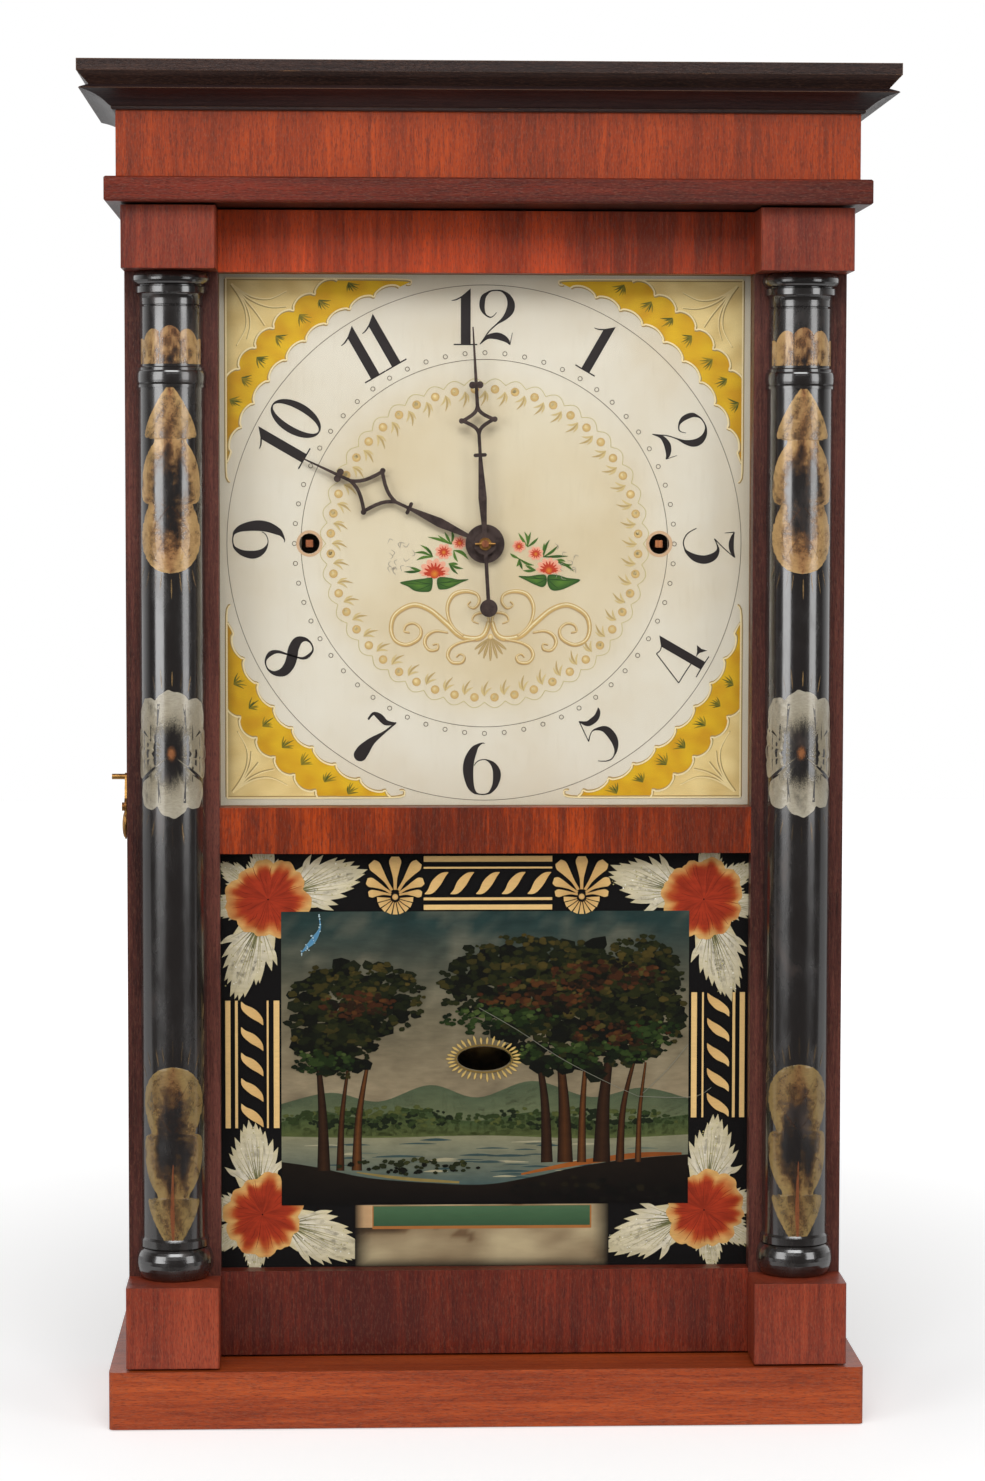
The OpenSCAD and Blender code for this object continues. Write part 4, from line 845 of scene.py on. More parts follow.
@dataclass(frozen=True)
class Corner:
    """One corner of the dial board. It is worked out at the top right and then mirrored into place."""

    number: int
    half_w: float
    half_h: float

    @property
    def signs(self) -> tuple[int, int]:
        """Gives the side of the dial that the corner is on, across and up."""
        return ((1, 1), (1, -1), (-1, -1), (-1, 1))[self.number]

    @property
    def at(self) -> tuple[float, float]:
        """Gives the point of the corner, before it is mirrored."""
        return DIAL_X + self.half_w, DIAL_Z + self.half_h

    def turned(self, p: tuple) -> tuple:
        """Mirrors a point, and what else it holds, into this corner."""
        across, up = self.signs
        return (DIAL_X + across * (p[0] - DIAL_X), DIAL_Z + up * (p[1] - DIAL_Z), *p[2:])

    def kept(self, p: tuple) -> tuple[float, float]:
        """Keeps a point inside the board's border."""
        return min(p[0], self.at[0]), min(p[1], self.at[1])

    def shaded(self, p: tuple, tint: tuple) -> tuple:
        """Darkens a colour towards the side border, most on the left: a painted shadow of the door stile."""
        near = clamp((self.at[0] - p[0]) / 7.0)
        # Painted shadow of the door stile: strong in the left corners, faint in the right ones.
        return blend(tint, srgb(84, 54, 26), (0.42 if self.signs[0] < 0 else 0.12) * (1 - near) ** 1.6)

    def wash(self, brush: Painter, spans: list[tuple], shares: tuple, tints: tuple, mix: tuple,
             cloud: tuple[float, float]) -> None:
        """Fills the space between two lines with a cloudy wash of two colours.

        Args:
            brush: The painter.
            spans: The pairs of points, one on each line.
            shares: Where the colour is worked out, as shares of the way across.
            tints: The two colours.
            mix: The share of the second colour, its rise on the way across and its swing.
            cloud: The scale and the layer of the clouds.
        """
        lines, rows = [], []
        scale, layer = cloud
        for p, q in spans:
            line = [between(p, q, share) for share in shares]
            lines.append([self.turned(v) for v in line])
            parts = [mix[0] + mix[1] * share + mix[2] * cloudy(x * scale, z * scale, layer)
                     for share, (x, z) in zip(shares, line)]
            # Each colour is darkened by the painted stile shadow near the side border.
            rows.append([self.shaded(v, blend(*tints, part)) for v, part in zip(line, parts)])
        brush.rows(lines, rows)


@dataclass
class DialDress:
    """The painted face of the dial board. Sizes are millimetres; the board's are its half sizes."""

    centre: tuple[float, float] = (DIAL_X, DIAL_Z)
    outer_r: float = 140.2
    inner_r: float = 100.0
    dot_r: float = 103.6
    wreath_r: float = 84.0
    berries: int = 48
    half_w: float = 140.4
    half_h: float = 143.3
    low_h: float = 138.8
    art_x: float = 3.2
    lobe_out: float = 163.2
    board: tuple[float, float] = (152.0, 153.0)

    def polar(self, r: float, a: float) -> tuple[float, float]:
        """Gives the point at a distance from the dial's middle and an angle in degrees from the top."""
        return towards(*self.centre, math.radians(a), r)

    def ground(self) -> None:
        """Paints the dial board's own cream ground."""
        g = Graph("dial_ground")
        x, y, z = g.node("SeparateXYZ", {0: g.node("TexCoord").outputs["Object"]}).outputs
        up = g.maths("SUBTRACT", z, self.centre[1] * MM)
        side = g.maths("MAXIMUM", g.maths("ABSOLUTE", g.maths("DIVIDE", x, self.board[0] * MM)),
                       g.maths("ABSOLUTE", g.maths("DIVIDE", up, self.board[1] * MM)))
        mottle = g.cloud(g.mapped((16, 16, 16)), 4.0, 0.55)
        weave = g.cloud(g.mapped((420, 420, 60)), 3.0, 0.6)
        outside, inside = (g.ramp(mottle, list(zip((0.30, 0.52, 0.72), tints))) for tints in (
            (srgb(222, 208, 184), srgb(229, 219, 201), srgb(234, 226, 211)),
            (srgb(215, 195, 158), srgb(223, 206, 174), srgb(228, 214, 186))))
        away = g.maths("SQRT", g.maths("ADD", g.maths("MULTIPLY", x, x), g.maths("MULTIPLY", up, up)))
        tint = g.mixed(g.step(away, 0.070, 0.104), inside, outside)
        # Darker towards the board's edges.
        tint = g.mixed(g.maths("MULTIPLY", g.step(side, 0.72, 1.02), 0.30), tint, srgb(196, 180, 150))
        tint = g.mixed(g.maths("MULTIPLY", g.step(weave, 0.5, 0.75), 0.07), tint, srgb(170, 150, 112))
        tint = g.mixed(g.step(y, -0.0079, -0.0078), tint, srgb(150, 112, 74))
        g.surface(Base_Color=tint, Roughness=0.5, Coat_Weight=0.12, Coat_Roughness=0.3,
                  Normal=g.bump(weave, 0.00002))
        dress("dial_board", g.owner)

    def rings(self) -> Painter:
        """Paints the thin circles, the minute dots and the rings round the winding holes.

        Returns:
            The painted shapes.
        """
        brush = Painter()
        brush.ring(*self.centre, self.outer_r, 0.17, TINT.thin_ink, 160)
        brush.ring(*self.centre, self.inner_r, 0.17, TINT.thin_ink, 140)
        for minute in range(60):
            brush.ring(*self.polar(self.dot_r, 6 * minute), 1.15, 0.2, TINT.thin_ink, 12)
        for side in (-1, 1):
            brush.ring(self.centre[0] + side * WIND_X, self.centre[1], 6.4, 0.8, srgb(214, 176, 140), 32)
        return brush

    def lobed(self, r: float, a0: float, a1: float, lobes: int, depth: float) -> list[tuple]:
        """Gives a line of lobes that rise by a depth over the radius r, between two angles in degrees."""
        steps = lobes * 12
        return [self.polar(r + depth * abs(math.sin(math.pi * i / 12)) ** 0.62, a0 + (a1 - a0) * i / steps)
                for i in range(steps + 1)]

    def spandrel(self, flat: Painter, raised: Painter, number: int) -> None:
        """Paints one corner: a gilt field, a scalloped yellow band and raised outlines.

        Args:
            flat: The painter for the flat colours.
            raised: The painter for the raised outlines.
            number: The corner, 0 to 3 clockwise from the top right.
        """
        cx, cz = self.centre
        upper = number in (0, 3)
        corner = Corner(number, self.half_w, self.half_h if upper else self.low_h)
        right, top = corner.at
        r_in, a_in, b_in = (146.4, 18.5, 70.25) if upper else (145.2, 15.8, 70.4)
        tip = (cx + 40.0, top - 1.4) if upper else (cx + 43.5, top - 2.4)
        outer = [corner.kept(p) for p in self.lobed(self.lobe_out, 29.35, 59.65, 6, 3.7)]
        inner = [corner.kept(p) for p in self.lobed(r_in, a_in, b_in, 9, 3.0)]
        inner = [p for p in inner if p[1] < top - 0.1 and p[0] < right - 0.1]

        edge = [(outer[0][0] - 0.6, top), *outer, (right, outer[-1][1] - 0.6)]
        spans = []
        for i, p in enumerate(edge):
            u = 2 * i / (len(edge) - 1)
            spans.append((p, between((edge[0][0], top), corner.at, u) if u < 1
                          else between(corner.at, (right, edge[-1][1]), u - 1)))
        corner.wash(flat, spans, (0, 0.25, 0.5, 0.75, 0.9, 1), (TINT.field, TINT.field_dark), (0.5, 0.0, 0.9),
                    (0.09, number * 3.0))

        near_line = [tip, *inner, (right - 0.4, inner[-1][1] - 6.0)]
        before = [between((tip[0], top), (outer[0][0], top), k / 14) for k in range(1, 14)]
        after = [between((right, outer[-1][1]), (right, near_line[-1][1]), k / 14) for k in range(1, 15)]
        far_line = [(tip[0] + 1, top - 0.4), *before, *outer, *after]
        # The yellow band darkens steadily towards its outer side: painted shadow of the door's rails. Its
        # clouds are the paint's own mottle.
        corner.wash(flat, list(zip(even_points(near_line, 260), even_points(far_line, 260))),
                    (0, 0.2, 0.4, 0.6, 0.8, 1), (TINT.yellow, TINT.deep_yellow), (0.25, 0.45, 1.1),
                    (0.12, number * 5.0 + 1))

        self.tufts(flat, corner, 159.6 if upper else 156.8)
        border = ([(tip[0] + 2.6, tip[1] - 1.6, 0.3), (tip[0] + 0.6, tip[1] - 1.5, 0.45), (*tip, 0.5),
                   (tip[0] + 2.4, top - 0.4, 0.5), (cx + 60, top, 0.5), (cx + 100, top, 0.55),
                   (right, top, 0.55)],
                  [(right, top, 0.55), (right, cz + 90, 0.55), (right, cz + 48, 0.55),
                   (right - 0.3, cz + 36.0, 0.4), (right - 2.2, cz + 33.5, 0.25)])
        joined = [*[(*p, 0.58) for p in inner], (right - 0.6, inner[-1][1] - 5.5, 0.4)]
        self.outlines(flat, raised, corner, [[(*p, 0.58) for p in outer], joined, *border])

    def tufts(self, flat: Painter, corner: Corner, r: float) -> None:
        """Paints the small dark tufts in the scallops of the yellow band.

        Args:
            flat: The painter for the flat colours.
            corner: The corner.
            r: The radius that the tufts grow from.
        """
        rnd = random.Random(corner.number)
        right, top = corner.at
        for a in (27.9, 34.1, 39.4, 44.8, 50.7, 55.3, 60.8):
            root = self.polar(r, a + rnd.uniform(-0.5, 0.5))
            root = (min(root[0], right - 2.0), min(root[1], top - 2.0))
            for j in range(6):
                lean = math.radians(a + 180 + (j - 2.5) * 17 + rnd.uniform(-5, 5))
                far = rnd.uniform(5.2, 8.2) * (1.0 - 0.07 * abs(j - 2.5))
                blade = blade_path(root, lean, far, 0.5, 0.1, (0.16, 0.42, 0.07))
                flat.stroke([corner.turned(p) for p in blade],
                            blend(TINT.tuft, TINT.yellow, rnd.uniform(0.0, 0.35)), steps=3, across=1)

    def outlines(self, flat: Painter, raised: Painter, corner: Corner, lines: list[list[tuple]]) -> None:
        """Paints the raised outlines of a corner and the rays in its shell, with painted shadows and
        highlights.

        Args:
            flat: The painter for the shadows.
            raised: The painter for the raised lines.
            corner: The corner.
            lines: The outlines.
        """
        shade = blend(TINT.field_dark, srgb(96, 58, 30), 0.5)
        for line in lines:
            # A dark stroke shifted right and down: painted shadow of the raised line.
            flat.stroke([corner.turned((x + 0.35, z - 0.45, w + 0.12)) for x, z, w in line], shade,
                        steps=2, across=1)
            # The raised line, pale in its middle: the gesso's colour with a painted highlight.
            raised.stroke([corner.turned((x, z, w * 0.8)) for x, z, w in line], TINT.gesso,
                          edge=blend(TINT.gesso, TINT.field, 0.6), steps=2)
        right, top = corner.at
        for bend, far in ((-21, 42), (-9, 36), (3, 40), (11, 34), (22, 46)):
            path = []
            for i in range(6):
                t = i / 5
                a = math.radians(225 + bend * (0.4 + t * t * 2.2))
                path.append((*around(right - 3, top - 3, a, far * t * 0.9), 0.34 * (1 - t) + 0.2))
            path = [p for p in path if math.dist(p[:2], self.centre) > self.lobe_out + 4
                    and p[0] < right - 2 and p[1] < top - 2]
            if len(path) > 2:
                # Painted shadow of each ray, then the ray with a painted highlight along its middle.
                flat.stroke([corner.turned((x + 0.5, z - 0.5, w)) for x, z, w in path],
                            blend(TINT.field_dark, srgb(110, 80, 40), 0.5), steps=4, across=1)
                raised.stroke([corner.turned(p) for p in path], blend(TINT.field, TINT.gesso, 0.6),
                              edge=TINT.field, steps=4)

    def wreath(self) -> Painter:
        """Paints the wreath of gilt berries, sprigs and a fine vine.

        Returns:
            The painted shapes.
        """
        brush = Painter()
        pitch = 360 / self.berries
        side_tint, middle_tint = srgb(214, 190, 136), srgb(194, 166, 112)
        vine_tint = blend(blend(TINT.cream, TINT.gilt, 0.75), srgb(190, 180, 120), 0.7)
        for i in range(self.berries):
            a = pitch * (i + 0.5)
            x, z = self.polar(self.wreath_r, a)
            # Each berry is lighter in its middle and has a small pale spot up and to the left: painted
            # shading and a painted highlight of a round bead.
            brush.disc(x, z, 2.35, srgb(230, 202, 142), srgb(204, 166, 104), 16)
            brush.disc(x - 0.3, z + 0.4, 1.15, srgb(236, 218, 172), srgb(228, 198, 138), 10)
            b = a + pitch / 2
            root = self.polar(self.wreath_r - 0.8, b)
            for lean, far, tint in ((-26, 6.2, side_tint), (0, 8.6, middle_tint), (26, 6.2, side_tint)):
                blade = blade_path(root, math.radians(b + 180 + lean), far, 0.5, 0.25, (0.12, 0.62, 0.1))
                brush.stroke(blade, tint, steps=3, across=1)
            vine = [self.polar(self.wreath_r + 2.5 + 3.2 * math.sin(math.pi * t), b + pitch * (t - 1))
                    for t in (0, 0.25, 0.5, 0.75, 1)]
            brush.stroke([(*p, 0.17) for p in vine], vine_tint, steps=2, across=1)
        return brush

    def scrolls(self) -> Painter:
        """Paints the gilt scrolls under the hands, mirrored left and right, with painted shadows and
        highlights.

        Returns:
            The painted shapes.
        """
        brush = Painter()
        gilt, dark, scroll_highlight = srgb(216, 180, 116), srgb(168, 128, 76), srgb(238, 222, 180)
        sweeps = (
            (((-0.8, -42.5), (-3.3, -49.2), (-8.3, -51.7), (-16.7, -50.0), (-24.2, -43.3), (-33.4, -35.8),
              (-42.6, -33.3), (-51.8, -38.3), (-54.3, -45.8), (-52.2, -52.5), (-45.9, -55.0), (-39.2, -51.7),
              (-38.0, -46.7), (-41.7, -43.3), (-45.9, -44.2), (-47.2, -47.5), (-44.3, -48.3)), 1.55, 0.2),
            (((-0.8, -42.5), (-2.5, -37.5), (-8.3, -38.3), (-10.0, -41.7), (-6.7, -43.3)), 0.75, 0.3),
            (((-15.0, -50.0), (-20.0, -45.8), (-23.0, -40.0), (-23.4, -33.3), (-20.0, -27.5), (-13.4, -25.8),
              (-7.5, -27.5), (-6.3, -31.6), (-9.2, -35.0), (-12.5, -33.3), (-10.9, -31.2)), 1.1, 0.4),
            (((-23.4, -48.3), (-30.0, -47.5), (-34.6, -50.0), (-35.9, -54.2), (-33.4, -57.9), (-29.2, -57.5),
              (-28.8, -54.6), (-31.7, -55.0)), 0.95, 0.4),
            (((-8.3, -52.1), (-16.7, -53.8), (-21.7, -56.7), (-23.4, -60.9), (-20.9, -64.6), (-15.9, -64.6),
              (-14.2, -61.7), (-16.7, -60.0), (-18.8, -61.7)), 0.95, 0.4))
        middle = (self.centre[0] + self.art_x, self.centre[1])
        for flip in (False, True):
            brush.place = Place(*middle, flip=flip)
            for points, wide, peak in sweeps:
                n = len(points) - 1
                path = [(x, z, max(0.3, wide * (1.0 - 0.75 * abs(k / n - peak) / max(peak, 1 - peak))))
                        for k, (x, z) in enumerate(points)]
                # A dark stroke shifted right and down: painted shadow of the scroll.
                brush.stroke([(x + 0.3, z - 0.45, w) for x, z, w in path], dark,
                             edge=blend(dark, TINT.cream, 0.3), steps=5)
                brush.stroke(path, gilt, edge=blend(gilt, dark, 0.35), steps=5)
                # A thin pale stroke along its upper side: painted highlight.
                brush.stroke([(x - 0.1, z + 0.3 * w, w * 0.28) for x, z, w in path], scroll_highlight, steps=5, across=1)
        brush.place = Place(*middle)
        for k in range(-3, 4):
            blade = blade_path((0.36 * k, -51.5), math.radians(180 - 17 * k), 12.4 - 0.9 * abs(k), 0.62,
                               0.0, (0.15, 0.78, 0.3))
            brush.stroke(blade, srgb(196, 174, 122), edge=dark, steps=4)
        # The hub of the fan, pale in its middle: painted highlight.
        brush.disc(0.0, -50.6, 1.5, scroll_highlight, gilt, 14)
        brush.place = Place()
        return brush

    def blossom(self, brush: Painter, x: float, z: float, r: float, petals: int, sit: float) -> None:
        """Paints a red and pink flower.

        Args:
            brush: The painter.
            x: Its middle, across.
            z: Its middle, up.
            r: Its radius.
            petals: The number of petals.
            sit: The share of its height that its lower half keeps.
        """
        pale, warm, deep = srgb(240, 178, 152), srgb(228, 112, 78), srgb(196, 60, 34)

        def rim(a: float, far: float) -> tuple[float, float]:
            """Gives a point of the flower, flattened above and below its middle."""
            return around(x, z, a, far, far * (0.95 if math.sin(a) > 0 else sit))

        outline = [rim(a, r * (0.78 + 0.22 * abs(math.sin(a * petals / 2)))) for a in angles(petals * 5)]
        brush.fan(outline, (x, z - r * 0.15 * (1 - sit)), warm, pale, 2)
        for a in angles(petals + 4):
            brush.stroke([(*rim(a + 0.2, r * 0.15), r * 0.13), (*rim(a + 0.2, r * 0.70), r * 0.03)],
                         deep, steps=2, across=1)
        brush.disc(x, z - r * 0.05, r * 0.3, srgb(222, 140, 44), deep, 12)

    def bouquets(self) -> Painter:
        """Paints the two small bouquets beside the hands' hub.

        Returns:
            The painted shapes.
        """
        brush = Painter()
        rnd = random.Random(7)
        brush.place = Place(*self.centre)
        light, dark = srgb(92, 130, 48), srgb(46, 82, 34)
        vein = blend(dark, srgb(20, 40, 16), 0.4)
        sprays = (
            ((-18.2, -0.4), ((-31.0, 3.6), (-25.4, 4.6), (-21.8, 6.4), (-18.2, 7.6))),
            ((-28.2, -7.2), ((-38.1, -4.9), (-34.9, -0.8), (-32.0, -1.6), (-37.2, -9.0))),
            ((-34.5, -14.8), ((-44.0, -15.3), (-41.0, -12.6))),
            ((-16.9, -3.6), ((-8.9, -8.6), (-10.1, -6.0), (-14.6, -9.9))),
            ((-19.6, -10.8), ((-14.6, -16.6), (-11.7, -13.5), (-14.4, -11.2))),
            ((23.4, -1.7), ((18.4, 5.9), (21.6, 6.6), (25.2, 6.4), (29.2, 3.4))),
            ((32.0, -7.2), ((32.4, 0.4), (35.3, 2.1), (39.8, -1.1), (45.4, -6.7))),
            ((18.8, -8.1), ((13.8, -5.2), (17.4, -12.4), (20.6, -14.0), (27.0, -11.7))),
            ((38.7, -9.0), ((47.8, -11.4), (48.7, -15.0), (44.1, -9.6))),
            ((27.9, -14.4), ((21.0, -14.6), (22.2, -11.7))))
        leaves = (
            ((-28.6, -18.5), (-32.7, -18.9), (-39.9, -19.8), (-46.2, -21.2), (-41.7, -23.4), (-38.1, -25.7),
             (-32.7, -26.3), (-29.1, -25.2)),
            ((-25.5, -18.5), (-19.1, -18.5), (-14.6, -19.4), (-8.7, -19.4), (-12.8, -21.2), (-18.2, -23.9),
             (-22.0, -24.9), (-25.4, -24.3)),
            ((33.3, -17.1), (28.8, -16.9), (24.3, -17.6), (18.4, -17.6), (22.5, -19.8), (27.0, -22.1),
             (31.6, -23.6), (33.8, -21.3)),
            ((34.7, -17.1), (39.6, -16.9), (45.1, -18.5), (52.3, -19.6), (47.8, -22.5), (41.4, -25.2),
             (36.6, -25.2), (34.4, -21.8)))
        blossoms = (
            (-27.3, -16.0, 8.6, 11, 0.32), (-22.3, -4.5, 4.9, 8, 0.86), (-13.7, 0.5, 4.1, 7, 0.9),
            (35.1, -14.2, 7.2, 11, 0.35), (27.9, -5.4, 4.4, 8, 0.86), (18.7, -1.3, 3.8, 7, 0.95))
        for outline in leaves:
            root = between(outline[0], outline[-1], 0.5)
            middle = tuple(sum(values) / len(outline) for values in zip(*outline))
            brush.fan(catmull(list(outline), 4, True)[:-1], middle, light, dark, 2)
            for tip in (outline[3], outline[2], outline[5]):
                x, z = between(root, tip, 0.5)
                brush.stroke([(*root, 0.12), (x, z - 0.4, 0.2), (*between(root, tip, 0.86), 0.08)], vein,
                             steps=3, across=1)
        for root, tips in sprays:
            for tip in tips:
                dx, dz = tip[0] - root[0], tip[1] - root[1]
                bend = rnd.uniform(-0.12, 0.12)
                middle = (root[0] + dx * 0.55 - dz * bend, root[1] + dz * 0.55 + dx * bend)
                brush.stroke([(*root, 0.16), (*middle, 0.74), (*tip, 0.08)],
                             blend(light, dark, rnd.random()), steps=4, across=1)
        for _ in range(26):
            x, z = rnd.choice((-1, 1)) * rnd.uniform(38, 52), rnd.uniform(-20, 2)
            a = rnd.uniform(0, 6)
            brush.stroke([(x, z, 0.08), (*around(x, z, a, 2.0), 0.15), (*around(x, z, a + 0.9, 3.4), 0.07)],
                         srgb(158, 148, 138), steps=3, across=1)
        for x, z, r, petals, sit in blossoms:
            self.blossom(brush, x, z, r, petals, sit)
        brush.place = Place()
        return brush

    def build(self) -> None:
        """Paints the dial, layer over layer, from the board's front face forwards."""
        self.ground()
        enamel = Paint("dial_enamel", rough=0.42, variation=0.06, relief=0.00002).make()
        gilding = Paint("dial_gilding", rough=0.34, variation=0.10, relief=0.00008).make()
        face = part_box("dial_board")[0][1]
        numerals, flat, raised = Painter(), Painter(), Painter()
        writer = Numerals()
        for hour in range(1, 13):
            writer.paint_hour(numerals, hour, self.centre)
        for corner in range(4):
            self.spandrel(flat, raised, corner)
        for name, brush, lift, material, step in (
                ("dial_numerals", numerals, 0.00012, enamel, 8e-7),
                ("dial_rings", self.rings(), 0.00010, enamel, 8e-7),
                ("dial_spandrels", flat, 0.00010, enamel, 8e-7),
                ("dial_raised_lines", raised, 0.00045, gilding, 8e-7),
                ("dial_wreath", self.wreath(), 0.00014, gilding, 1.5e-7),
                ("dial_scrolls", self.scrolls(), 0.00020, gilding, 2.5e-7),
                ("dial_bouquets", self.bouquets(), 0.00023, enamel, 2e-7)):
            brush.build(name, face - lift, material, "case", "dial_paint", step=step)


def dress(node: str, material: Material) -> None:
    """Gives a node of the construction model its finish."""
    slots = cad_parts[node].data.materials
    slots.clear()
    slots.append(material)


def dress_all(*finishes: tuple) -> None:
    """Gives groups of nodes their finishes.

    Args:
        *finishes: For each group its wood or metal and the names of its nodes.
    """
    for finish, nodes in finishes:
        made = finish.make()
        for node in nodes:
            dress(node, made)
        LOG.info("%s on %s", finish.name, ", ".join(nodes))


@dataclass(frozen=True)
class Lacquer:
    """Old gloss lacquer with fine streaks, dust and rubbed places."""

    name: str
    tint: tuple = srgb(26, 21, 19)
    rubbed: tuple = srgb(66, 50, 42)
    rough: float = 0.14
    streak: float = 0.00002

    def make(self) -> Material:
        """Builds the material.

        Returns:
            The material.
        """
        g = Graph(self.name)
        wear = g.cloud(g.mapped((60, 60, 26)), 4.0, 0.6, 0.2)
        fine = g.cloud(g.mapped((700, 700, 120)), 3.0, 0.65)
        long = g.cloud(g.mapped((300, 300, 9)), 2.0, 0.6)
        tint = g.mixed(g.maths("MULTIPLY", g.step(wear, 0.56, 0.72), 0.5), self.tint, self.rubbed)
        rough = g.maths("MULTIPLY_ADD", g.step(wear, 0.4, 0.7), 0.14, self.rough)
        rough = g.maths("MULTIPLY_ADD", fine, 0.10, rough)
        height = g.maths("ADD", fine, long)
        g.surface(Base_Color=tint, Roughness=rough, Specular_IOR_Level=1.0, Coat_Weight=1.0,
                  Coat_Roughness=0.10, Normal=g.bump(height, self.streak))
        return g.owner


@dataclass
class ColumnStencils:
    """The half columns and the bronze powder stencils on them.

    A stencil's points are the distance round the shaft and the height, in millimetres. The leaf at
    the top of the shaft stands again at its foot, upside down: the two heights of a point add up to
    leaf_turn. Its outline is the height and the half width; a lobe of the flower is the place and
    the size of an ellipse.
    """

    axis_x: float = 168.6
    axis_y: float = -34.4
    shaft_r: float = 17.8
    neck_r: float = 16.8
    lift: float = 0.06
    leaf_turn: float = 650.5
    flower_z: float = 361.0
    crown_foot: float = 568.6
    crown_w: float = 41.2
    crown_pitch: float = 11.0
    foliage: list[tuple] = field(default_factory=lambda: [
        (557, 1.2), (553, 4.2), (549, 6.8), (545, 9.2), (541, 11.6), (537, 13.6), (533, 15.2), (531, 15.6),
        (529.6, 14.8), (529.2, 12.4), (529.6, 10.0), (528.6, 8.6), (526.6, 9.2), (524, 11.4), (520, 14.0),
        (515, 16.4), (510, 17.8), (504, 18.6), (499, 18.4), (496, 17.2), (494.8, 15), (494.2, 12.8),
        (492, 13.4), (488, 15.8), (484.4, 16.6), (484.0, 17.6), (480, 18.2), (479.4, 18.9),
        (474.6, 18.4), (474.0, 18.8),
        (470, 17.2), (469.4, 17.4), (466.4, 15.0), (465.8, 15.2), (463, 12.4), (462.4, 12.2), (460.2, 9.0),
        (459.6, 8.6), (458.2, 4.4), (457.6, 0.6)])
    lobes: tuple = (
        (0, 24, 10.6, 10.0), (-13.4, 18.5, 8.2, 11.5), (13.4, 18.5, 8.2, 11.5), (-19.6, 8.4, 3.6, 5.4),
        (-20.4, 0.2, 4.4, 4.6), (-19.6, -7.6, 3.8, 6.0), (19.6, 8.4, 3.6, 5.4), (20.4, 0.2, 4.4, 4.6),
        (19.6, -7.6, 3.8, 6.0), (-12.6, -20.5, 7.4, 9.0), (0.6, -23.5, 9.0, 10.4), (12.6, -20.5, 7.4, 9.0))

    def leaves(self, brush: Painter, flip: bool, edge: tuple, core: tuple) -> None:
        """Paints the long lobed leaf of a stencil, dense at its outline and thin along its spine.

        Args:
            brush: The painter.
            flip: Whether the leaf stands at the foot of the shaft, upside down.
            edge: The colour at the outline.
            core: The colour along the spine.
        """
        table = sorted(self.foliage)
        foot, length = table[0][0], table[-1][0] - table[0][0]
        shares = (0.0, 0.1, 0.2, 0.32, 0.45, 0.58, 0.7, 0.8, 0.88, 0.94, 0.98, 1.0)

        def stood(z: float) -> float:
            """Gives a height of the leaf, turned over if it stands upside down."""
            return self.leaf_turn - z if flip else z

        def powder(x: float, z: float, share: float) -> tuple:
            """Gives the powder at a point.

            Args:
                x: Across.
                z: Up.
                share: The share of the way from the spine to the outline.

            Returns:
                The colour and the cover.
            """
            t = (z - foot) / length
            thin = math.exp(-((t - 0.42) / 0.27) ** 2)
            patch = cloudy(x * 0.22, z * 0.10, 5.0)
            patch += 0.6 * cloudy(x * 0.7, z * 0.45, 8.0)
            rim = min(1.0, share / 0.8) ** 1.5
            cover = (0.84 - 0.80 * thin) * (1 - rim) + (0.90 - 0.14 * thin) * rim + 0.38 * patch
            tint = blend(core, edge, share + 0.4 * (1 - thin) + 0.5 * patch)
            return (*tint, clamp(cover * (0.78 if 0.72 < t < 0.95 else 1.0), 0.03, 0.97))

        for side in (-1, 1):
            lines, tints = [], []
            for low, high in zip(table, table[1:]):
                steps = max(1, int((high[0] - low[0]) / 0.7))
                for k in range(steps):
                    z, w = between(low, high, k / steps)
                    w = max(w + 0.35 * cloudy(z * 0.9, side * 7.0, 3.0), 0.3)
                    lines.append([(side * w * share, stood(z)) for share in shares])
                    tints.append([powder(side * w * share, z, share) for share in shares])
            brush.rows(lines, tints)
        vein = (*blend(core, (0, 0, 0), 0.5), 0.5)
        for side in (-1, 1):
            for z0, z1, w in ((534, 548, 10), (505, 526, 13), (476, 493, 12.5), (466, 478, 9)):
                path = ((side * w, z0, 0.12), (side * w * 0.5, (z0 + z1) / 2 + 1.5, 0.3),
                        (side * 0.8, z1, 0.14))
                brush.stroke([(x, stood(z), half) for x, z, half in path], vein, steps=4, across=1)

    def rays(self, brush: Painter, z: float, up: bool, tint: tuple, wide: float = 17.0) -> None:
        """Paints the short strokes that spray from the end of a motif.

        Args:
            brush: The painter.
            z: The height that they start from.
            up: Whether they spray upwards.
            tint: Their colour.
            wide: Half the width of the spray.
        """
        way = 1 if up else -1
        rnd = random.Random(int(z))
        for i in range(9):
            s = (i - 4) / 4 + rnd.uniform(-0.05, 0.05)
            x, start = s * wide, z - way * (7.2 * s ** 2 - rnd.uniform(-1.0, 1.5))
            reach = way * (12.0 - 3.5 * abs(s)) * rnd.uniform(0.6, 1.1)
            path = [(x, start, 0.12), (x + s * 1.6, start + reach * 0.5, rnd.uniform(0.22, 0.42)),
                    (x + s * 3.6, start + reach, 0.08)]
            brush.stroke(path, (*tint, rnd.uniform(0.3, 0.6)), steps=4)

    def flower(self, brush: Painter) -> None:
        """Paints the silver flower in the middle of the shaft.

        Args:
            brush: The painter.
        """
        silver, olive = TINT.silver, blend(TINT.silver, srgb(120, 104, 66), 0.6)
        shares = (0.12, 0.3, 0.5, 0.68, 0.84, 1.0)

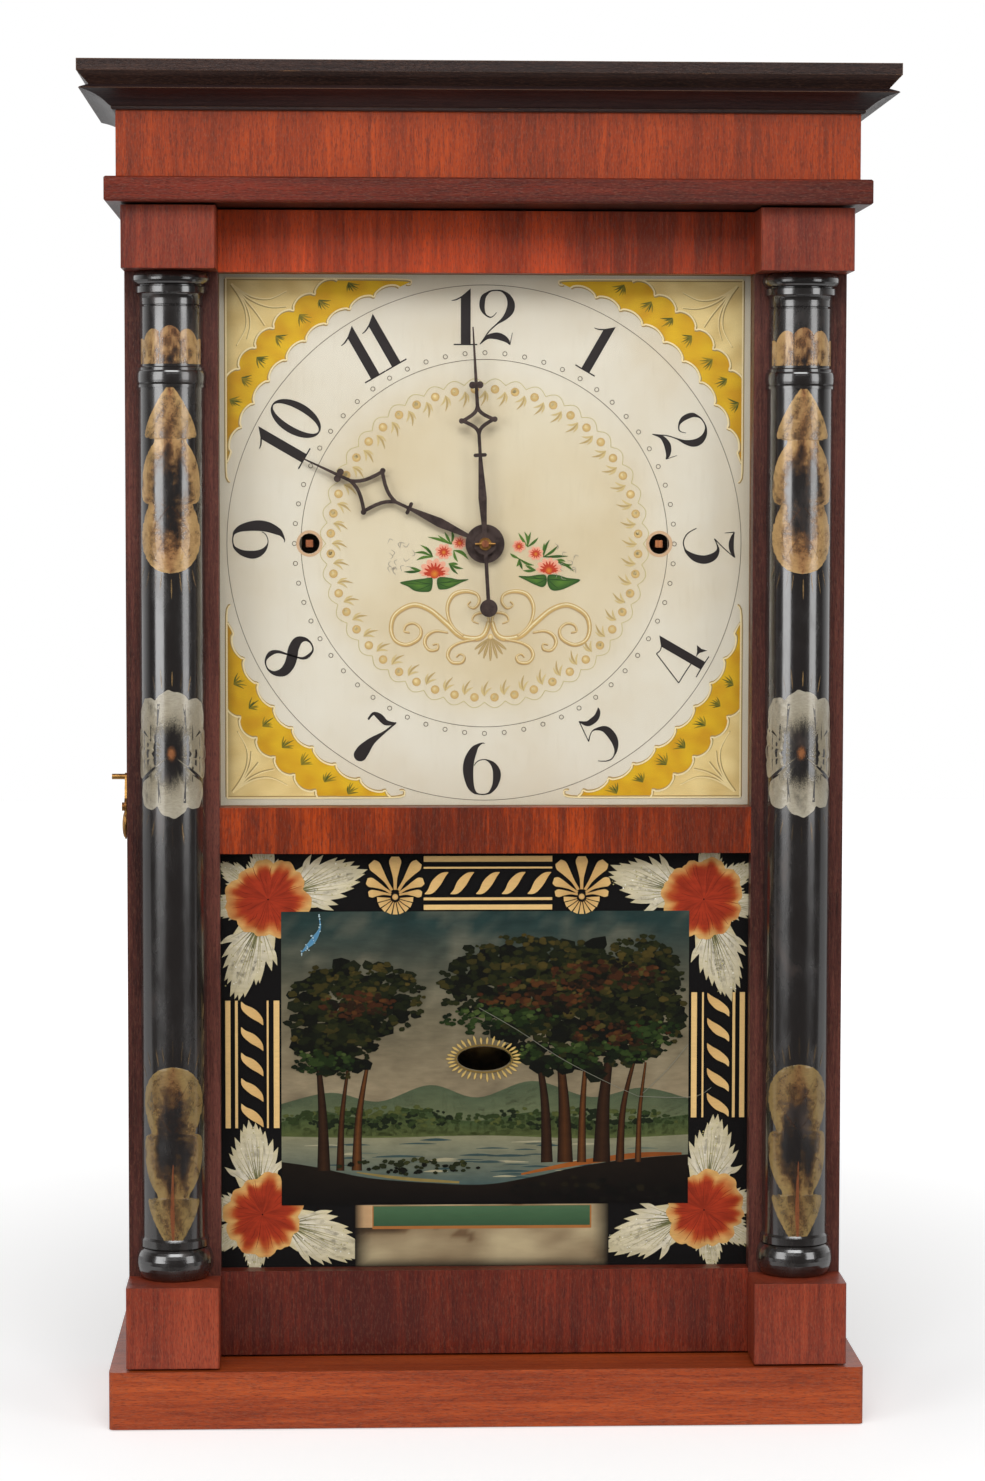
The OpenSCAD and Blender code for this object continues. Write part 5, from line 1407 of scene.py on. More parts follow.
        def reach(c: float, s: float) -> float:
            """Gives how far the lobes reach in a direction.

            Args:
                c: The direction's cosine.
                s: Its sine.

            Returns:
                The distance from the flower's middle.
            """
            far = 11.0
            for x, z, rx, rz in self.lobes:
                qa = (c / rx) ** 2 + (s / rz) ** 2
                qb = -2 * (x * c / rx ** 2 + z * s / rz ** 2)
                qc = (x / rx) ** 2 + (z / rz) ** 2 - 1
                root = qb * qb - 4 * qa * qc
                if root > 0:
                    far = max(far, (-qb + math.sqrt(root)) / (2 * qa))
            return far * (1 + 0.03 * cloudy(c * 9, s * 9, 2.0))

        lines, tints = [], []
        for a in [*angles(200), 2 * math.pi]:
            c, s = math.cos(a), math.sin(a)
            far = reach(c, s)
            lines.append([(c * far * k, self.flower_z + s * far * k) for k in shares])
            side = c ** 2
            streak = 0.22 * cloudy(c * 7, s * 7, 6.0) + 0.16 * cloudy(c * 22, s * 22, 1.0)
            rim = blend(silver, olive, 0.7 * side + 0.15 + streak)
            covers = (0.03, 0.16 + 0.35 * side, 0.52 + 0.3 * side, 0.82, 0.90, 0.95)
            tints.append([(*blend(olive, rim, k), clamp(cover + streak * (1.2 - k), 0.02, 0.97))
                          for k, cover in zip(shares, covers)])
        brush.rows(lines, tints)
        gap = (*srgb(30, 25, 22), 0.8)
        for x0, z0, x1, z1 in (
                (-6.8, 27, -8.2, 12), (6.8, 27, 8.2, 12), (-17.5, 12, -14, 9), (17.5, 12, 14, 9),
                (-6.4, -26, -7.6, -12), (7.0, -26, 7.8, -12), (-16.5, -13.4, -12, -11),
                (16.5, -13.4, 12, -11)):
            path = ((x0 * 1.02, z0, 0.75), ((x0 + x1) / 2, (z0 + z1) / 2, 0.45), (x1, z1, 0.1))
            brush.stroke([(x, self.flower_z + z, w) for x, z, w in path], gap, steps=4, across=1)
        eye = (0, self.flower_z + 0.5)
        brush.fan([around(*eye, a, 3.7, 5.8) for a in angles(20)], eye, (*TINT.copper, 1.0),
                  (*TINT.copper, 0.06), 4)

    def crown(self, brush: Painter) -> None:
        """Paints the scalloped shell round the necking.

        Args:
            brush: The painter.
        """
        copper = blend(TINT.copper, srgb(92, 62, 40), 0.4)
        shares = (0.0, 0.12, 0.25, 0.4, 0.55, 0.7, 0.82, 0.92, 1.0)
        lines, tints = [], []
        for i in range(121):
            x = self.crown_w * (i / 120 - 0.5)
            wave = math.cos(math.pi * x / self.crown_pitch)
            top = 585.2 + 3.6 * abs(wave) ** 0.7 - 0.016 * x * x
            gap = 1 - 0.35 * math.exp(-(wave / 0.10) ** 2)
            edge = min(1.0, abs(x) / 15.0)
            lines.append([(x, self.crown_foot + (top - self.crown_foot) * share) for share in shares])
            row = []
            for share in shares:
                patch = cloudy(x * 0.3, share * 4.0, 2.0)
                patch += 0.5 * cloudy(x * 0.9, share * 12.0, 4.0)
                cover = gap * (0.42 + 0.32 * edge + 0.26 * share + 0.42 * patch)
                tint = blend(copper, TINT.bronze, 0.15 + 0.8 * edge + 0.6 * patch)
                row.append((*tint, clamp(cover, 0.04, 0.96)))
            tints.append(row)
        brush.rows(lines, tints)

    def build(self) -> None:
        """Dresses the columns."""
        dress("half_columns", Lacquer("black_lacquer").make())
        powder = Paint("bronze_powder", rough=0.38, metallic=0.15, powder=0.36, wear=0.55, grain=1300,
                       variation=0.35, coat=1.0, relief=0.00005).make()
        shade = (0, 0, 0)
        bronze = blend(TINT.bronze, shade, 0.3)
        for side, word in ((-1, "left"), (1, "right")):
            brush, neck = Painter(), Painter()
            self.leaves(brush, False, TINT.bronze, TINT.copper)
            self.leaves(brush, True, blend(srgb(150, 124, 74), shade, 0.12), blend(TINT.copper, shade, 0.3))
            brush.stroke([(0, 94.5, 0.2), (-0.4, 110, 1.1), (-0.4, 126, 0.7), (0, 140, 0.2)],
                         (*srgb(132, 74, 42), 0.75))
            self.flower(brush)
            self.rays(brush, 456, False, bronze)
            self.rays(brush, 396, True, bronze, 19.0)
            self.rays(brush, 324, False, bronze, 19.0)
            self.rays(brush, 195, True, blend(bronze, shade, 0.3))
            self.crown(neck)
            axis = (side * self.axis_x * MM, self.axis_y * MM)
            for place, made, r in (("shaft", brush, self.shaft_r), ("neck", neck, self.neck_r)):
                made.build(f"{word}_{place}_stencil", 0, powder, "door", "black_column",
                           (*axis, (r + self.lift) * MM))


@dataclass
class TabletPainting:
    """The reverse painting on the lower glass: a lake view in a black and gilt border.

    The picture is its left and right edge, then its lower and upper edge. The clear oval is its
    middle and its half sizes.
    """

    half_w: float = 147.5
    low: float = 74.5
    high: float = 309.5
    picture: tuple[float, float, float, float] = (-111.0, 111.5, 112.0, 273.3)
    oval: tuple[float, float, float, float] = (-0.5, 192.4, 14.6, 6.6)
    seed: int = 11

    def sky(self, x: float, z: float) -> tuple:
        """Gives the colour of the sky at a point.

        Args:
            x: Across.
            z: Up.

        Returns:
            The colour.
        """
        low_z, high_z = self.picture[2:]
        t = (z - low_z) / (high_z - low_z)
        top, mid, low = srgb(36, 56, 54), srgb(104, 96, 76), srgb(138, 122, 96)
        tint = blend(low, mid, (t - 0.35) / 0.3) if t < 0.65 else blend(mid, top, (t - 0.65) / 0.3)
        puff = 0.5 * cloudy(x * 0.035, z * 0.06, 2.0) + 0.5 * cloudy(x * 0.1, z * 0.16, 7.0)
        tint = blend(tint, srgb(160, 148, 122), max(0.0, puff) * 0.7 * (1 - abs(t - 0.6)))
        return blend(tint, srgb(30, 34, 32), max(0.0, -puff) * 0.8)

    def ground(self) -> Painter:
        """Paints the black ground.

        Returns:
            The painted shapes.
        """
        brush = Painter()
        brush.fill([[(-self.half_w, self.low), (self.half_w, self.low), (self.half_w, self.high),
                     (-self.half_w, self.high)]], srgb(16, 14, 14))
        return brush

    def view(self) -> Painter:
        """Paints the picture: hills, a lake, two groups of trees and a dark bank.

        Returns:
            The painted shapes.
        """
        brush = Painter()
        rnd = random.Random(self.seed)
        self.land(brush, rnd)
        self.trees(brush, rnd)
        self.losses(brush, rnd)
        return brush

    def ridge(self, brush: Painter, points: list[tuple], foot: float, tint: tuple, base: tuple) -> None:
        """Paints land or water from its top line to its foot, shaded from tint to base."""
        brush.rows([[(x, z), (x, (z + foot) / 2), (x, foot)] for x, z in catmull(points, 8)],
                   [tint, blend(tint, base, 0.5), base])

    def dabs(self, brush: Painter, rnd: random.Random, spots: tuple, tints: list[tuple]) -> None:
        """Dabs a clump of foliage, lit from above.

        Args:
            brush: The painter.
            rnd: The source of its small differences.
            spots: The clump's middle, its half width and half height, the number of dabs and their size.
            tints: The colours, from dark to light.
        """
        cx, cz, rx, rz, count, size = spots
        x0, x1, z0, z1 = self.picture
        for _ in range(count):
            a, d = rnd.uniform(0, 2 * math.pi), math.sqrt(rnd.random())
            ragged = 1 + 0.22 * cloudy(3 * math.cos(a) + cx, 3 * math.sin(a) + cz, 1.0)
            x, z = around(cx, cz, a, rx * d * ragged, rz * d * ragged)
            r = size * rnd.uniform(0.5, 1.25) * (1.15 - 0.4 * d)
            x, z = clamp(x, x0 + r, x1 - r), clamp(z, z0 + r, z1 - r)
            clump = cloudy(x * 0.11, z * 0.15, cx)
            lit = 0.42 + 0.20 * math.sin(a) * d + 0.75 * clump + rnd.uniform(-0.16, 0.16)
            tint = tints[min(int(max(lit, 0) * len(tints)), len(tints) - 1)]
            turn = rnd.uniform(0, 3)
            ring = [around(x, z, b + turn, r * rnd.uniform(0.7, 1.25), r * 0.66 * rnd.uniform(0.7, 1.25))
                    for b in angles(6)]
            brush.fan([(clamp(px, x0, x1), clamp(pz, z0, z1)) for px, pz in ring], (x, z), tint,
                      blend(tint, srgb(18, 18, 12), 0.25))

    def land(self, brush: Painter, rnd: random.Random) -> None:
        """Paints the sky, the hills, the lake and the bank.

        Args:
            brush: The painter.
            rnd: The source of its small differences.
        """
        x0, x1, z0, _ = self.picture
        brush.sheet(self.picture, 40, 30, self.sky)
        self.ridge(brush, [(x0, 168), (-84, 174), (-58, 169), (-30, 178), (-4, 171), (26, 180), (58, 171),
                           (86, 176), (x1, 170)], 150, srgb(74, 84, 62), srgb(104, 108, 76))
        self.ridge(brush, [(x0, 158), (-92, 164), (-66, 160), (-40, 165), (-8, 158), (30, 163), (70, 157),
                           (x1, 161)], 146, srgb(58, 72, 42), srgb(88, 94, 52))
        far_tints = [srgb(26, 34, 18), srgb(46, 58, 28), srgb(78, 84, 42)]
        self.dabs(brush, rnd, (-60, 160, 50, 6, 220, 2.2), far_tints)
        self.dabs(brush, rnd, (50, 159, 60, 6, 240, 2.2), far_tints)
        self.ridge(brush, [(x0, 150), (-60, 149), (0, 150), (60, 148), (x1, 150)], 122, srgb(128, 124, 98),
                   srgb(62, 80, 78))
        glints = [srgb(156, 148, 120), srgb(52, 70, 70), srgb(90, 98, 86)]
        for _ in range(46):
            x, z = rnd.uniform(x0 + 14, x1 - 14), rnd.uniform(126, 148)
            w = rnd.uniform(5, 13)
            brush.stroke([(x - w, z, 0.1), (x, z + 0.3, rnd.uniform(0.3, 0.8)), (x + w, z, 0.1)],
                         rnd.choice(glints), steps=3, across=1)
        self.ridge(brush, [(x0, 136), (-92, 133), (-64, 127), (-30, 124), (0, 123), (26, 127), (54, 133),
                           (84, 137), (x1, 139)], z0, srgb(26, 19, 13), srgb(12, 9, 8))
        brush.stroke([(20, 128.5, 0.5), (48, 134, 1.3), (82, 138.5, 1.5), (108, 139.5, 0.6)],
                     srgb(150, 84, 34), srgb(116, 60, 26))
        brush.stroke([(-70, 130, 0.3), (-44, 126.4, 0.9), (-14, 124.2, 0.6)], srgb(128, 110, 62))

    def trees(self, brush: Painter, rnd: random.Random) -> None:
        """Paints the trunks and the foliage of the two groups of trees.

        Args:
            brush: The painter.
            rnd: The source of their small differences.
        """
        bark = [srgb(54, 32, 18), srgb(74, 42, 20), srgb(96, 56, 26)]
        trunks = ((34, 206, 2.2, -7), (44, 204, 2.9, -4), (53, 200, 1.7, 3), (64, 206, 3.2, 6),
                  (74, 196, 1.6, 9), (84, 190, 1.2, 4), (-88, 192, 2.4, -3), (-79, 186, 1.5, 4),
                  (-70, 190, 1.9, 6))
        for k, (x, top, w, lean) in enumerate(trunks):
            foot = 135 if x > 0 else 131
            trunk = [(x, foot, w * 1.5), (x + lean * 0.2, (foot + top) / 2, w), (x + lean, top, w * 0.5)]
            brush.stroke(trunk, bark[k % 3], edge=srgb(26, 16, 10))
        deep = [srgb(14, 15, 10), srgb(20, 24, 13), srgb(28, 32, 16)]
        greens = [srgb(16, 17, 10), srgb(26, 30, 13), srgb(38, 40, 16), srgb(56, 50, 20), srgb(74, 62, 26)]
        russet = [srgb(22, 17, 11), srgb(42, 26, 14), srgb(64, 34, 17), srgb(82, 48, 22), srgb(76, 66, 30)]
        fresh = [srgb(20, 28, 14), srgb(30, 44, 17), srgb(46, 62, 26), srgb(70, 84, 40)]
        moss = [srgb(18, 18, 11), srgb(34, 38, 18), srgb(54, 56, 26)]
        earth = [srgb(12, 10, 8), srgb(20, 16, 12), srgb(32, 26, 15)]
        for tints, clumps in (
                (deep, ((56, 220, 50, 36, 190, 7.5), (18, 236, 40, 24, 90, 6.5), (86, 234, 22, 26, 60, 6.0),
                        (-82, 214, 25, 32, 110, 6.5), (-58, 226, 24, 20, 50, 5.5))),
                (greens, ((58, 220, 50, 35, 620, 2.9), (18, 236, 42, 24, 360, 2.8),
                          (86, 236, 22, 25, 200, 2.7))),
                (russet, ((30, 226, 34, 10, 150, 2.4), (66, 238, 30, 8, 130, 2.4),
                          (74, 206, 26, 7, 100, 2.3))),
                (fresh, ((8, 214, 30, 8, 120, 2.4), (48, 194, 42, 7, 150, 2.2), (92, 206, 16, 8, 60, 2.2))),
                (greens, ((-82, 214, 25, 31, 360, 2.7), (-58, 226, 25, 19, 200, 2.6))),
                (russet, ((-70, 222, 22, 7, 90, 2.3),)), (fresh, ((-88, 191, 18, 7, 80, 2.2),)),
                (moss, ((-40, 133, 40, 4, 60, 2.2),)), (earth, ((60, 120, 50, 6, 60, 3.0),))):
            for clump in clumps:
                self.dabs(brush, rnd, clump, tints)

    def losses(self, brush: Painter, rnd: random.Random) -> None:
        """Paints a light blue painted reflection with pale flecks at the upper left of the sky, and the
        hairline cracks.

        Args:
            brush: The painter.
            rnd: The source of their small differences.
        """
        # A light blue crescent with pale flecks: painted reflection on the glass.
        blue_reflection = [(-90.2, 269.6, 0.25), (-89.9, 264.3, 0.5), (-93.3, 258.1, 1.5), (-96.8, 254.2, 1.0),
                (-100.0, 251.0, 0.2)]
        brush.stroke(blue_reflection, srgb(74, 128, 168), edge=srgb(96, 140, 160))
        for x, z, w in blue_reflection:
            for _ in range(5):
                brush.disc(x + rnd.uniform(-w, w), z + rnd.uniform(-2.2, 2.2), rnd.uniform(0.2, 0.5),
                           srgb(178, 200, 206), n=5)
        for crack in ([(-3.3, 220.4), (18.0, 208.0), (40.3, 193.2), (63.0, 181.0), (83.8, 171.4)],
                      [(124.0, 176.0), (116.4, 171.4), (102.0, 170.6), (83.8, 171.4)],
                      [(111.0, 199.7), (100.0, 186.0), (86.5, 173.0)]):
            brush.stroke([(x, z, 0.13) for x, z in crack], srgb(128, 126, 112), steps=3, across=1)

    def flower(self, brush: Painter, x: float, z: float, r: float, spin: float) -> None:
        """Paints a red corner flower with a scalloped pale rim.

        Args:
            brush: The painter.
            x: Its middle, across.
            z: Its middle, up.
            r: Its radius.
            spin: Its turn.
        """
        rnd = random.Random(int(r * 7 + x))
        lobes = 11
        offsets = [rnd.uniform(-0.12, 0.12) for _ in range(lobes)]
        sizes = [rnd.uniform(0.86, 1.04) for _ in range(lobes)]
        cream, orange, red = srgb(208, 162, 98), srgb(190, 98, 44), srgb(160, 52, 28)

        def reach(a: float) -> float:
            """Gives how far the lobes reach in a direction.

            Args:
                a: The direction, in radians.

            Returns:
                The distance, as a share of the radius.
            """
            best = 0.0
            for k in range(lobes):
                d = (a - spin - 2 * math.pi * k / lobes - offsets[k] + math.pi) % (2 * math.pi) - math.pi
                if abs(d) < 0.42:
                    frill = 0.030 * abs(math.sin(11 * d + k)) + 0.02 * cloudy(a * 9, k, 2.0)
                    best = max(best, sizes[k] * (1 - 1.5 * abs(d) ** 2.2) + frill)
            return max(best, 0.80)

        shares = [0.02 + 0.98 * k / 15 for k in range(16)]
        lines, tints = [], []
        for a in [*angles(150), 0.0]:
            far = r * reach(a)
            c, s = math.cos(a), math.sin(a)
            crease = abs(math.sin((a - spin) * lobes / 2))
            lines.append([(x + far * k * c, z + far * k * s) for k in shares])
            row = []
            for k in shares:
                wash = cloudy(c * k * 2.6 + x, s * k * 2.6 + z, 1.0)
                fine = cloudy(c * 5.5, s * 5.5, k * 1.6 + x)
                v = (k - 0.74) / 0.20 + 0.75 * wash + 0.55 * fine - 0.35 * (1 - crease)
                tint = blend(blend(red, orange, v + 0.55), cream, v)
                dark = min(0.6, max(0.0, 0.30 - 0.9 * fine - 0.5 * wash) * (1.1 - k))
                row.append(blend(tint, TINT.flower_dark, dark))
            tints.append(row)
        brush.rows(lines, tints)
        for a in angles(40):
            a += rnd.uniform(-0.06, 0.06)
            r0, r1 = r * rnd.uniform(0.12, 0.5), r * rnd.uniform(0.55, 0.88)
            tint = blend(TINT.flower_dark, red, rnd.uniform(0.0, 0.7))
            brush.stroke([(*around(x, z, a, r0), 0.10), (*around(x, z, a + 0.06, (r0 + r1) / 2), 0.20),
                          (*around(x, z, a + 0.02, r1), 0.06)], tint, steps=2, across=1)

    def leaf(self, brush: Painter, x: float, z: float, turn: float, length: float, w: float,
             seed: int) -> None:
        """Paints a pale leaf with deep pointed teeth.

        Args:
            brush: The painter.
            x: Its root, across.
            z: Its root, up.
            turn: The way that it points, in degrees.
            length: Its length.
            w: Half its width.
            seed: The seed of its small differences.
        """
        rnd = random.Random(seed)
        c, s = math.cos(math.radians(turn)), math.sin(math.radians(turn))

        def at(u: float, v: float) -> tuple[float, float]:
            """Gives the point at a share of the length and of the half width."""
            return x + length * u * c - w * v * s, z + length * u * s + w * v * c

        stem, pale, white = srgb(118, 112, 56), srgb(196, 182, 144), srgb(224, 217, 206)
        vein = srgb(70, 76, 30)
        teeth = []
        for i in range(13):
            side = i / 6 - 1
            lean = side + rnd.uniform(-0.04, 0.04)
            tip = at(1.02 - 0.60 * abs(lean) ** 1.4 + rnd.uniform(-0.03, 0.03), lean * 0.98)
            teeth.append((abs(side), side, tip))
        teeth.sort(reverse=True)
        root = at(0.0, 0.0)
        run = ((0.0, 0.3), (0.10, 0.60), (0.30, 0.70), (0.56, 0.56), (0.78, 0.26))
        rim = [at(0.02 + 0.78 * u, v) for u, v in run] + [at(0.02 + 0.78 * u, -v) for u, v in reversed(run)]
        brush.fan(rim, at(0.30, 0.0), blend(pale, white, 0.7), pale, 2)
        for _, side, tip in teeth:
            base = between(root, tip, 0.16)
            far = math.dist(base, tip)
            bow = between(base, at(0.34 - 0.10 * abs(side), side * 0.44), 1.02)
            wide = 0.088 * far + 0.3
            near = between(base, tip, 0.72)
            brush.stroke([(*base, wide * 0.25), (*bow, wide), (*near, wide * 0.82), (*tip, 0.05)],
                         blend(pale, white, 0.62 + 0.3 * rnd.random()), blend(pale, stem, 0.12), steps=8)
        for _, side, tip in teeth:
            middle = between(root, tip, 0.46)
            fade = blend(vein, pale, 0.35 + 0.3 * rnd.random())
            brush.stroke([(*root, 0.30), (*middle, 0.24), (*between(root, tip, 0.80), 0.06)], fade,
                         blend(fade, pale, 0.5), steps=4, across=1)
            if rnd.random() < 0.6:
                brush.stroke([(*root, 0.34), (*between(root, middle, 0.5), 0.42), (*middle, 0.08)],
                             vein, blend(vein, pale, 0.4), steps=3, across=1)
        for _ in range(36):
            u, v = rnd.uniform(0.2, 0.9), rnd.uniform(-0.7, 0.7)
            brush.disc(*at(u, v * (1 - 0.5 * u)), rnd.uniform(0.15, 0.5),
                       rnd.choice([srgb(178, 168, 118), srgb(228, 224, 210), srgb(158, 148, 98)]), n=5)

    def corner_sprays(self) -> Painter:
        """Paints the flowers and leaves in the four corners, kept within the glass.

        Returns:
            The painted shapes.
        """
        brush = Painter()
        corners = (
            ((-118.0, 280.0), ((17, 42, 17.0), (-109, 45, 17.0))),
            ((119.5, 279.5), ((163, 42, 17.0), (-74, 44, 16.5))),
            ((-121.5, 107.0), ((-22, 48, 17.0), (98, 40, 17.0))),
            ((120.5, 108.0), ((-159, 46, 17.0), (82, 40, 17.0))))
        for k, ((x, z), leaves) in enumerate(corners):
            for j, (turn, length, w) in enumerate(leaves):
                self.leaf(brush, *around(x, z, math.radians(turn), 13), turn, length, w, 10 * k + j)
            for side in (-1, 0, 1):
                a = math.atan2(z - 192, x) + side * 0.8
                self.leaf(brush, *around(x, z, a, 8), math.degrees(a), 25, 10, 40 + 3 * k + side)
        for k, ((x, z), _) in enumerate(corners):
            self.flower(brush, x, z, 23.0, 0.7 * k)
        brush.points = [(clamp(x, -self.half_w, self.half_w), clamp(z, self.low, self.high))
                        for x, z in brush.points]
        return brush

    def band(self, brush: Painter, place: Place, length: float, leaves: int) -> None:
        """Paints a gilt band of double lines with slanted leaves between them.

        Args:
            brush: The painter.
            place: Where the band's start stands, and its turn.
            length: Its length.
            leaves: The number of slanted leaves.
        """
        gold, deep = srgb(222, 184, 122), srgb(200, 158, 98)
        leaf = ((-6.4, -5.9, 0.15), (-3.2, -4.2, 1.7), (-0.2, 0.0, 2.5), (3.2, 4.0, 1.7), (6.4, 5.9, 0.15))
        brush.place = place
        for v, w in ((13.2, 1.55), (8.4, 0.5), (-8.6, 0.75), (-13.2, 1.4)):
            brush.stroke([(0, v, w), (length / 2, v, w), (length, v, w)], gold, steps=8, across=1)
        for i in range(leaves):
            x = length / leaves * (i + 0.5)
            brush.stroke([(x + u, v, w) for u, v, w in leaf], gold, deep, steps=5)
        brush.place = Place()

    def palmette(self, brush: Painter, x: float, z: float) -> None:
        """Paints a gilt palmette over a small rosette.

        Args:
            brush: The painter.
            x: Its middle, across.
            z: The height of its hub.
        """
        gold, deep = srgb(216, 178, 116), srgb(190, 148, 90)
        for turn, length, w in ((0, 21.5, 3.3), (35, 22.5, 3.2), (62, 17.5, 2.6), (86, 14.5, 2.1)):
            for way in ((-1, 1) if turn else (1,)):
                path = []
                for t, wide in ((0.16, 0.25), (0.42, 0.32), (0.70, 0.74), (0.88, 1.0), (1.0, 0.62)):
                    a = way * (math.radians(turn) - (turn / 90) * 0.28 * (1 - t))
                    path.append((*towards(x, z, a, length * t), w * wide))
                brush.stroke(path, deep, gold, steps=5)
        for k in range(9):
            a = math.radians(96 + 21 * k)
            brush.stroke([(x + rx * math.sin(a), z - 1.0 + rz * math.cos(a), w) for rx, rz, w in (
                (2.6, 2.4, 0.2), (6, 5.8, 0.85), (9.8, 9.0, 1.35))], deep, gold, steps=3)
        brush.disc(x, z - 0.5, 2.4, srgb(16, 12, 10), n=16)
        brush.disc(x, z - 0.5, 1.6, gold, deep, 14)

    def gilding(self) -> Painter:
        """Paints the bands, the palmettes and the rays round the clear oval.

        Returns:
            The painted shapes.
        """
        brush = Painter()
        self.band(brush, Place(-33.5, 288.8), 70, 5)
        self.band(brush, Place(-126.8, 224.8, -math.pi / 2), 70, 5)
        self.band(brush, Place(127.6, 159.5, math.pi / 2), 69, 5)
        self.palmette(brush, -49.0, 281.8)
        self.palmette(brush, 52.6, 281.8)
        x, z, rx, rz = self.oval
        rim = [(*around(x, z, a, rx + 0.9, rz + 0.9), 0.45) for a in angles(60)]
        brush.stroke(rim, srgb(120, 96, 48), steps=1, closed=True, across=1)
        rnd = random.Random(3)
        for a in angles(34):
            far = 4.4 * rnd.uniform(0.75, 1.15)
            marks = ((1.4, 0.2), (1.4 + far * 0.6, 0.62), (1.4 + far, 0.15))
            brush.stroke([(*around(x, z, a, rx + out, rz + out), w) for out, w in marks],
                         srgb(196, 164, 96), steps=3, across=1)
        return brush

    def caption(self) -> Painter:
        """Paints the cloudy panel and the bare green strip under the picture.

        Returns:
            The painted shapes.
        """
        brush = Painter()
        panel = (-71.0, 68.0, 78.0, 112.0)
        x0, x1, z0, _ = panel
        tan, brown, dark = srgb(176, 158, 124), srgb(108, 84, 60), srgb(44, 36, 28)

        def smoke(x: float, z: float) -> tuple:
            """Gives the panel's colour at a point: clouds that fade out at its edges.

            Args:
                x: Across.
                z: Up.

            Returns:
                The colour.
            """
            v = 0.58 + 0.75 * cloudy(x * 0.030, z * 0.055, 4.0)
            v += 0.22 * cloudy(x * 0.09, z * 0.14, 9.0)
            tint = blend(brown, tan, v * 1.3 - 0.1) if v > 0.3 else blend(dark, brown, v / 0.3)
            fade = min((x - x0) / 10, (x1 - x) / 10, (z - z0) / 6 + 0.1, 1.0)
            return blend(srgb(22, 19, 17), tint, fade)

        brush.sheet(panel, 46, 14, smoke)
        brush.rows([[(x, z) for x in (-71, -66, -61.5)] for z in (99.4, 111.8)],
                   [srgb(40, 32, 26), srgb(176, 142, 104), srgb(188, 150, 110)])
        brush.fill([[(-61.5, 98.6), (58.5, 98.6), (58.5, 111.4), (-61.5, 111.4)]], srgb(158, 100, 52))
        brush.rows([[(-60.9 + 118.6 * i / 24, z) for z in (100.2, 105.5, 111.2)] for i in range(25)],
                   [srgb(54, 80, 56), srgb(62, 90, 62), srgb(72, 100, 72)])
        return brush

    def build(self) -> None:
        """Paints the tablet on the back of its glass, layer behind layer."""
        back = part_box("tablet_glass")[1][1]
        window = tuple(v * MM for v in self.oval)
        plain = {"window": window, "coat": 0.0}
        flat = Paint("tablet_paint", rough=0.6, variation=0.10, grain=500, shine=0.1, **plain).make()
        rich = Paint("tablet_picture", rough=0.6, variation=0.30, grain=420, shine=0.1, **plain).make()
        gold = Paint("tablet_gilding", rough=0.5, variation=0.14, shine=0.2, **plain).make()
        for name, brush, lift, material, step in (
                ("tablet_ground", self.ground(), 0.00002, flat, 8e-7),
                ("tablet_corner_sprays", self.corner_sprays(), 0.00006, rich, 1.2e-7),
                ("tablet_caption", self.caption(), 0.00050, flat, 4e-7),
                ("tablet_picture", self.view(), 0.00054, rich, 1.5e-7),
                ("tablet_gilding", self.gilding(), 0.00120, gold, 6e-7)):
            brush.build(name, back - lift, material, "door", "painted_glass", step=step)
        for name, mirror in (("tablet_glass", 0.006), ("dial_glass", 0.010)):
            dress(name, Glass(name, mirror).make())


@dataclass
class CaseDress:
    """The woods of the case, the base and the cornice."""

    def build(self) -> None:
        """Dresses the case."""
        dress_all(
            (Wood("base_mahogany", (183, 83, 33), (153, 62, 22), (115, 41, 15), Grain.LEVEL, bands=0.6,
                  seed=1.3, bloom=0.22), ("base_board",)),
            (Wood("side_mahogany", (116, 55, 40), (90, 38, 29), (60, 25, 21), seed=2.1),
             ("left_side_board", "right_side_board")),
            (Wood("frieze_mahogany", (176, 65, 4), (140, 48, 6), (100, 34, 8), bands=0.8, pores=0.5,
                  band_scale=20, seed=3.7, bloom=0.24), ("frieze",)),
            (Wood("band_mahogany", (117, 34, 10), (87, 24, 8), (59, 15, 6), Grain.LEVEL, seed=4.9,
                  bloom=0.2), ("frieze_band",)),
            (Wood("dark_cornice", (68, 44, 35), (47, 29, 24), (28, 16, 14), Grain.LEVEL, bands=0.6,
                  pores=0.3, gloss=0.42, seed=5.5, worn=(150, 106, 68), worn_edge=0.0013, bloom=0.1),
             ("cornice_board",)),
            (Wood("dark_moulding", (58, 39, 37), (39, 26, 27), (24, 16, 18), Grain.LEVEL, bands=0.6,
                  pores=0.3, gloss=0.40, seed=5.9, worn=(140, 96, 60), worn_edge=0.0010, bloom=0.06),
             ("cornice_moulding",)),
            # The top board is given a dark colour: painted shade in the gap above the door's top rail.
            (Wood("painted_shade_shelf", (62, 40, 30), (44, 28, 22), (28, 18, 16), Grain.LEVEL, seed=6.6,
                  bloom=0.0), ("top_board",)),
            (Wood("old_pine", (196, 152, 100), (168, 122, 76), (122, 82, 48), gloss=0.6, pores=0.2,
                  seed=6.2, bloom=0.0), ("back_board", "dial_rails")),
            (Wood("level_pine", (186, 142, 92), (156, 112, 68), (112, 76, 44), Grain.LEVEL, gloss=0.6,
                  pores=0.2, seed=7.4, bloom=0.0), ("movement_battens",)))


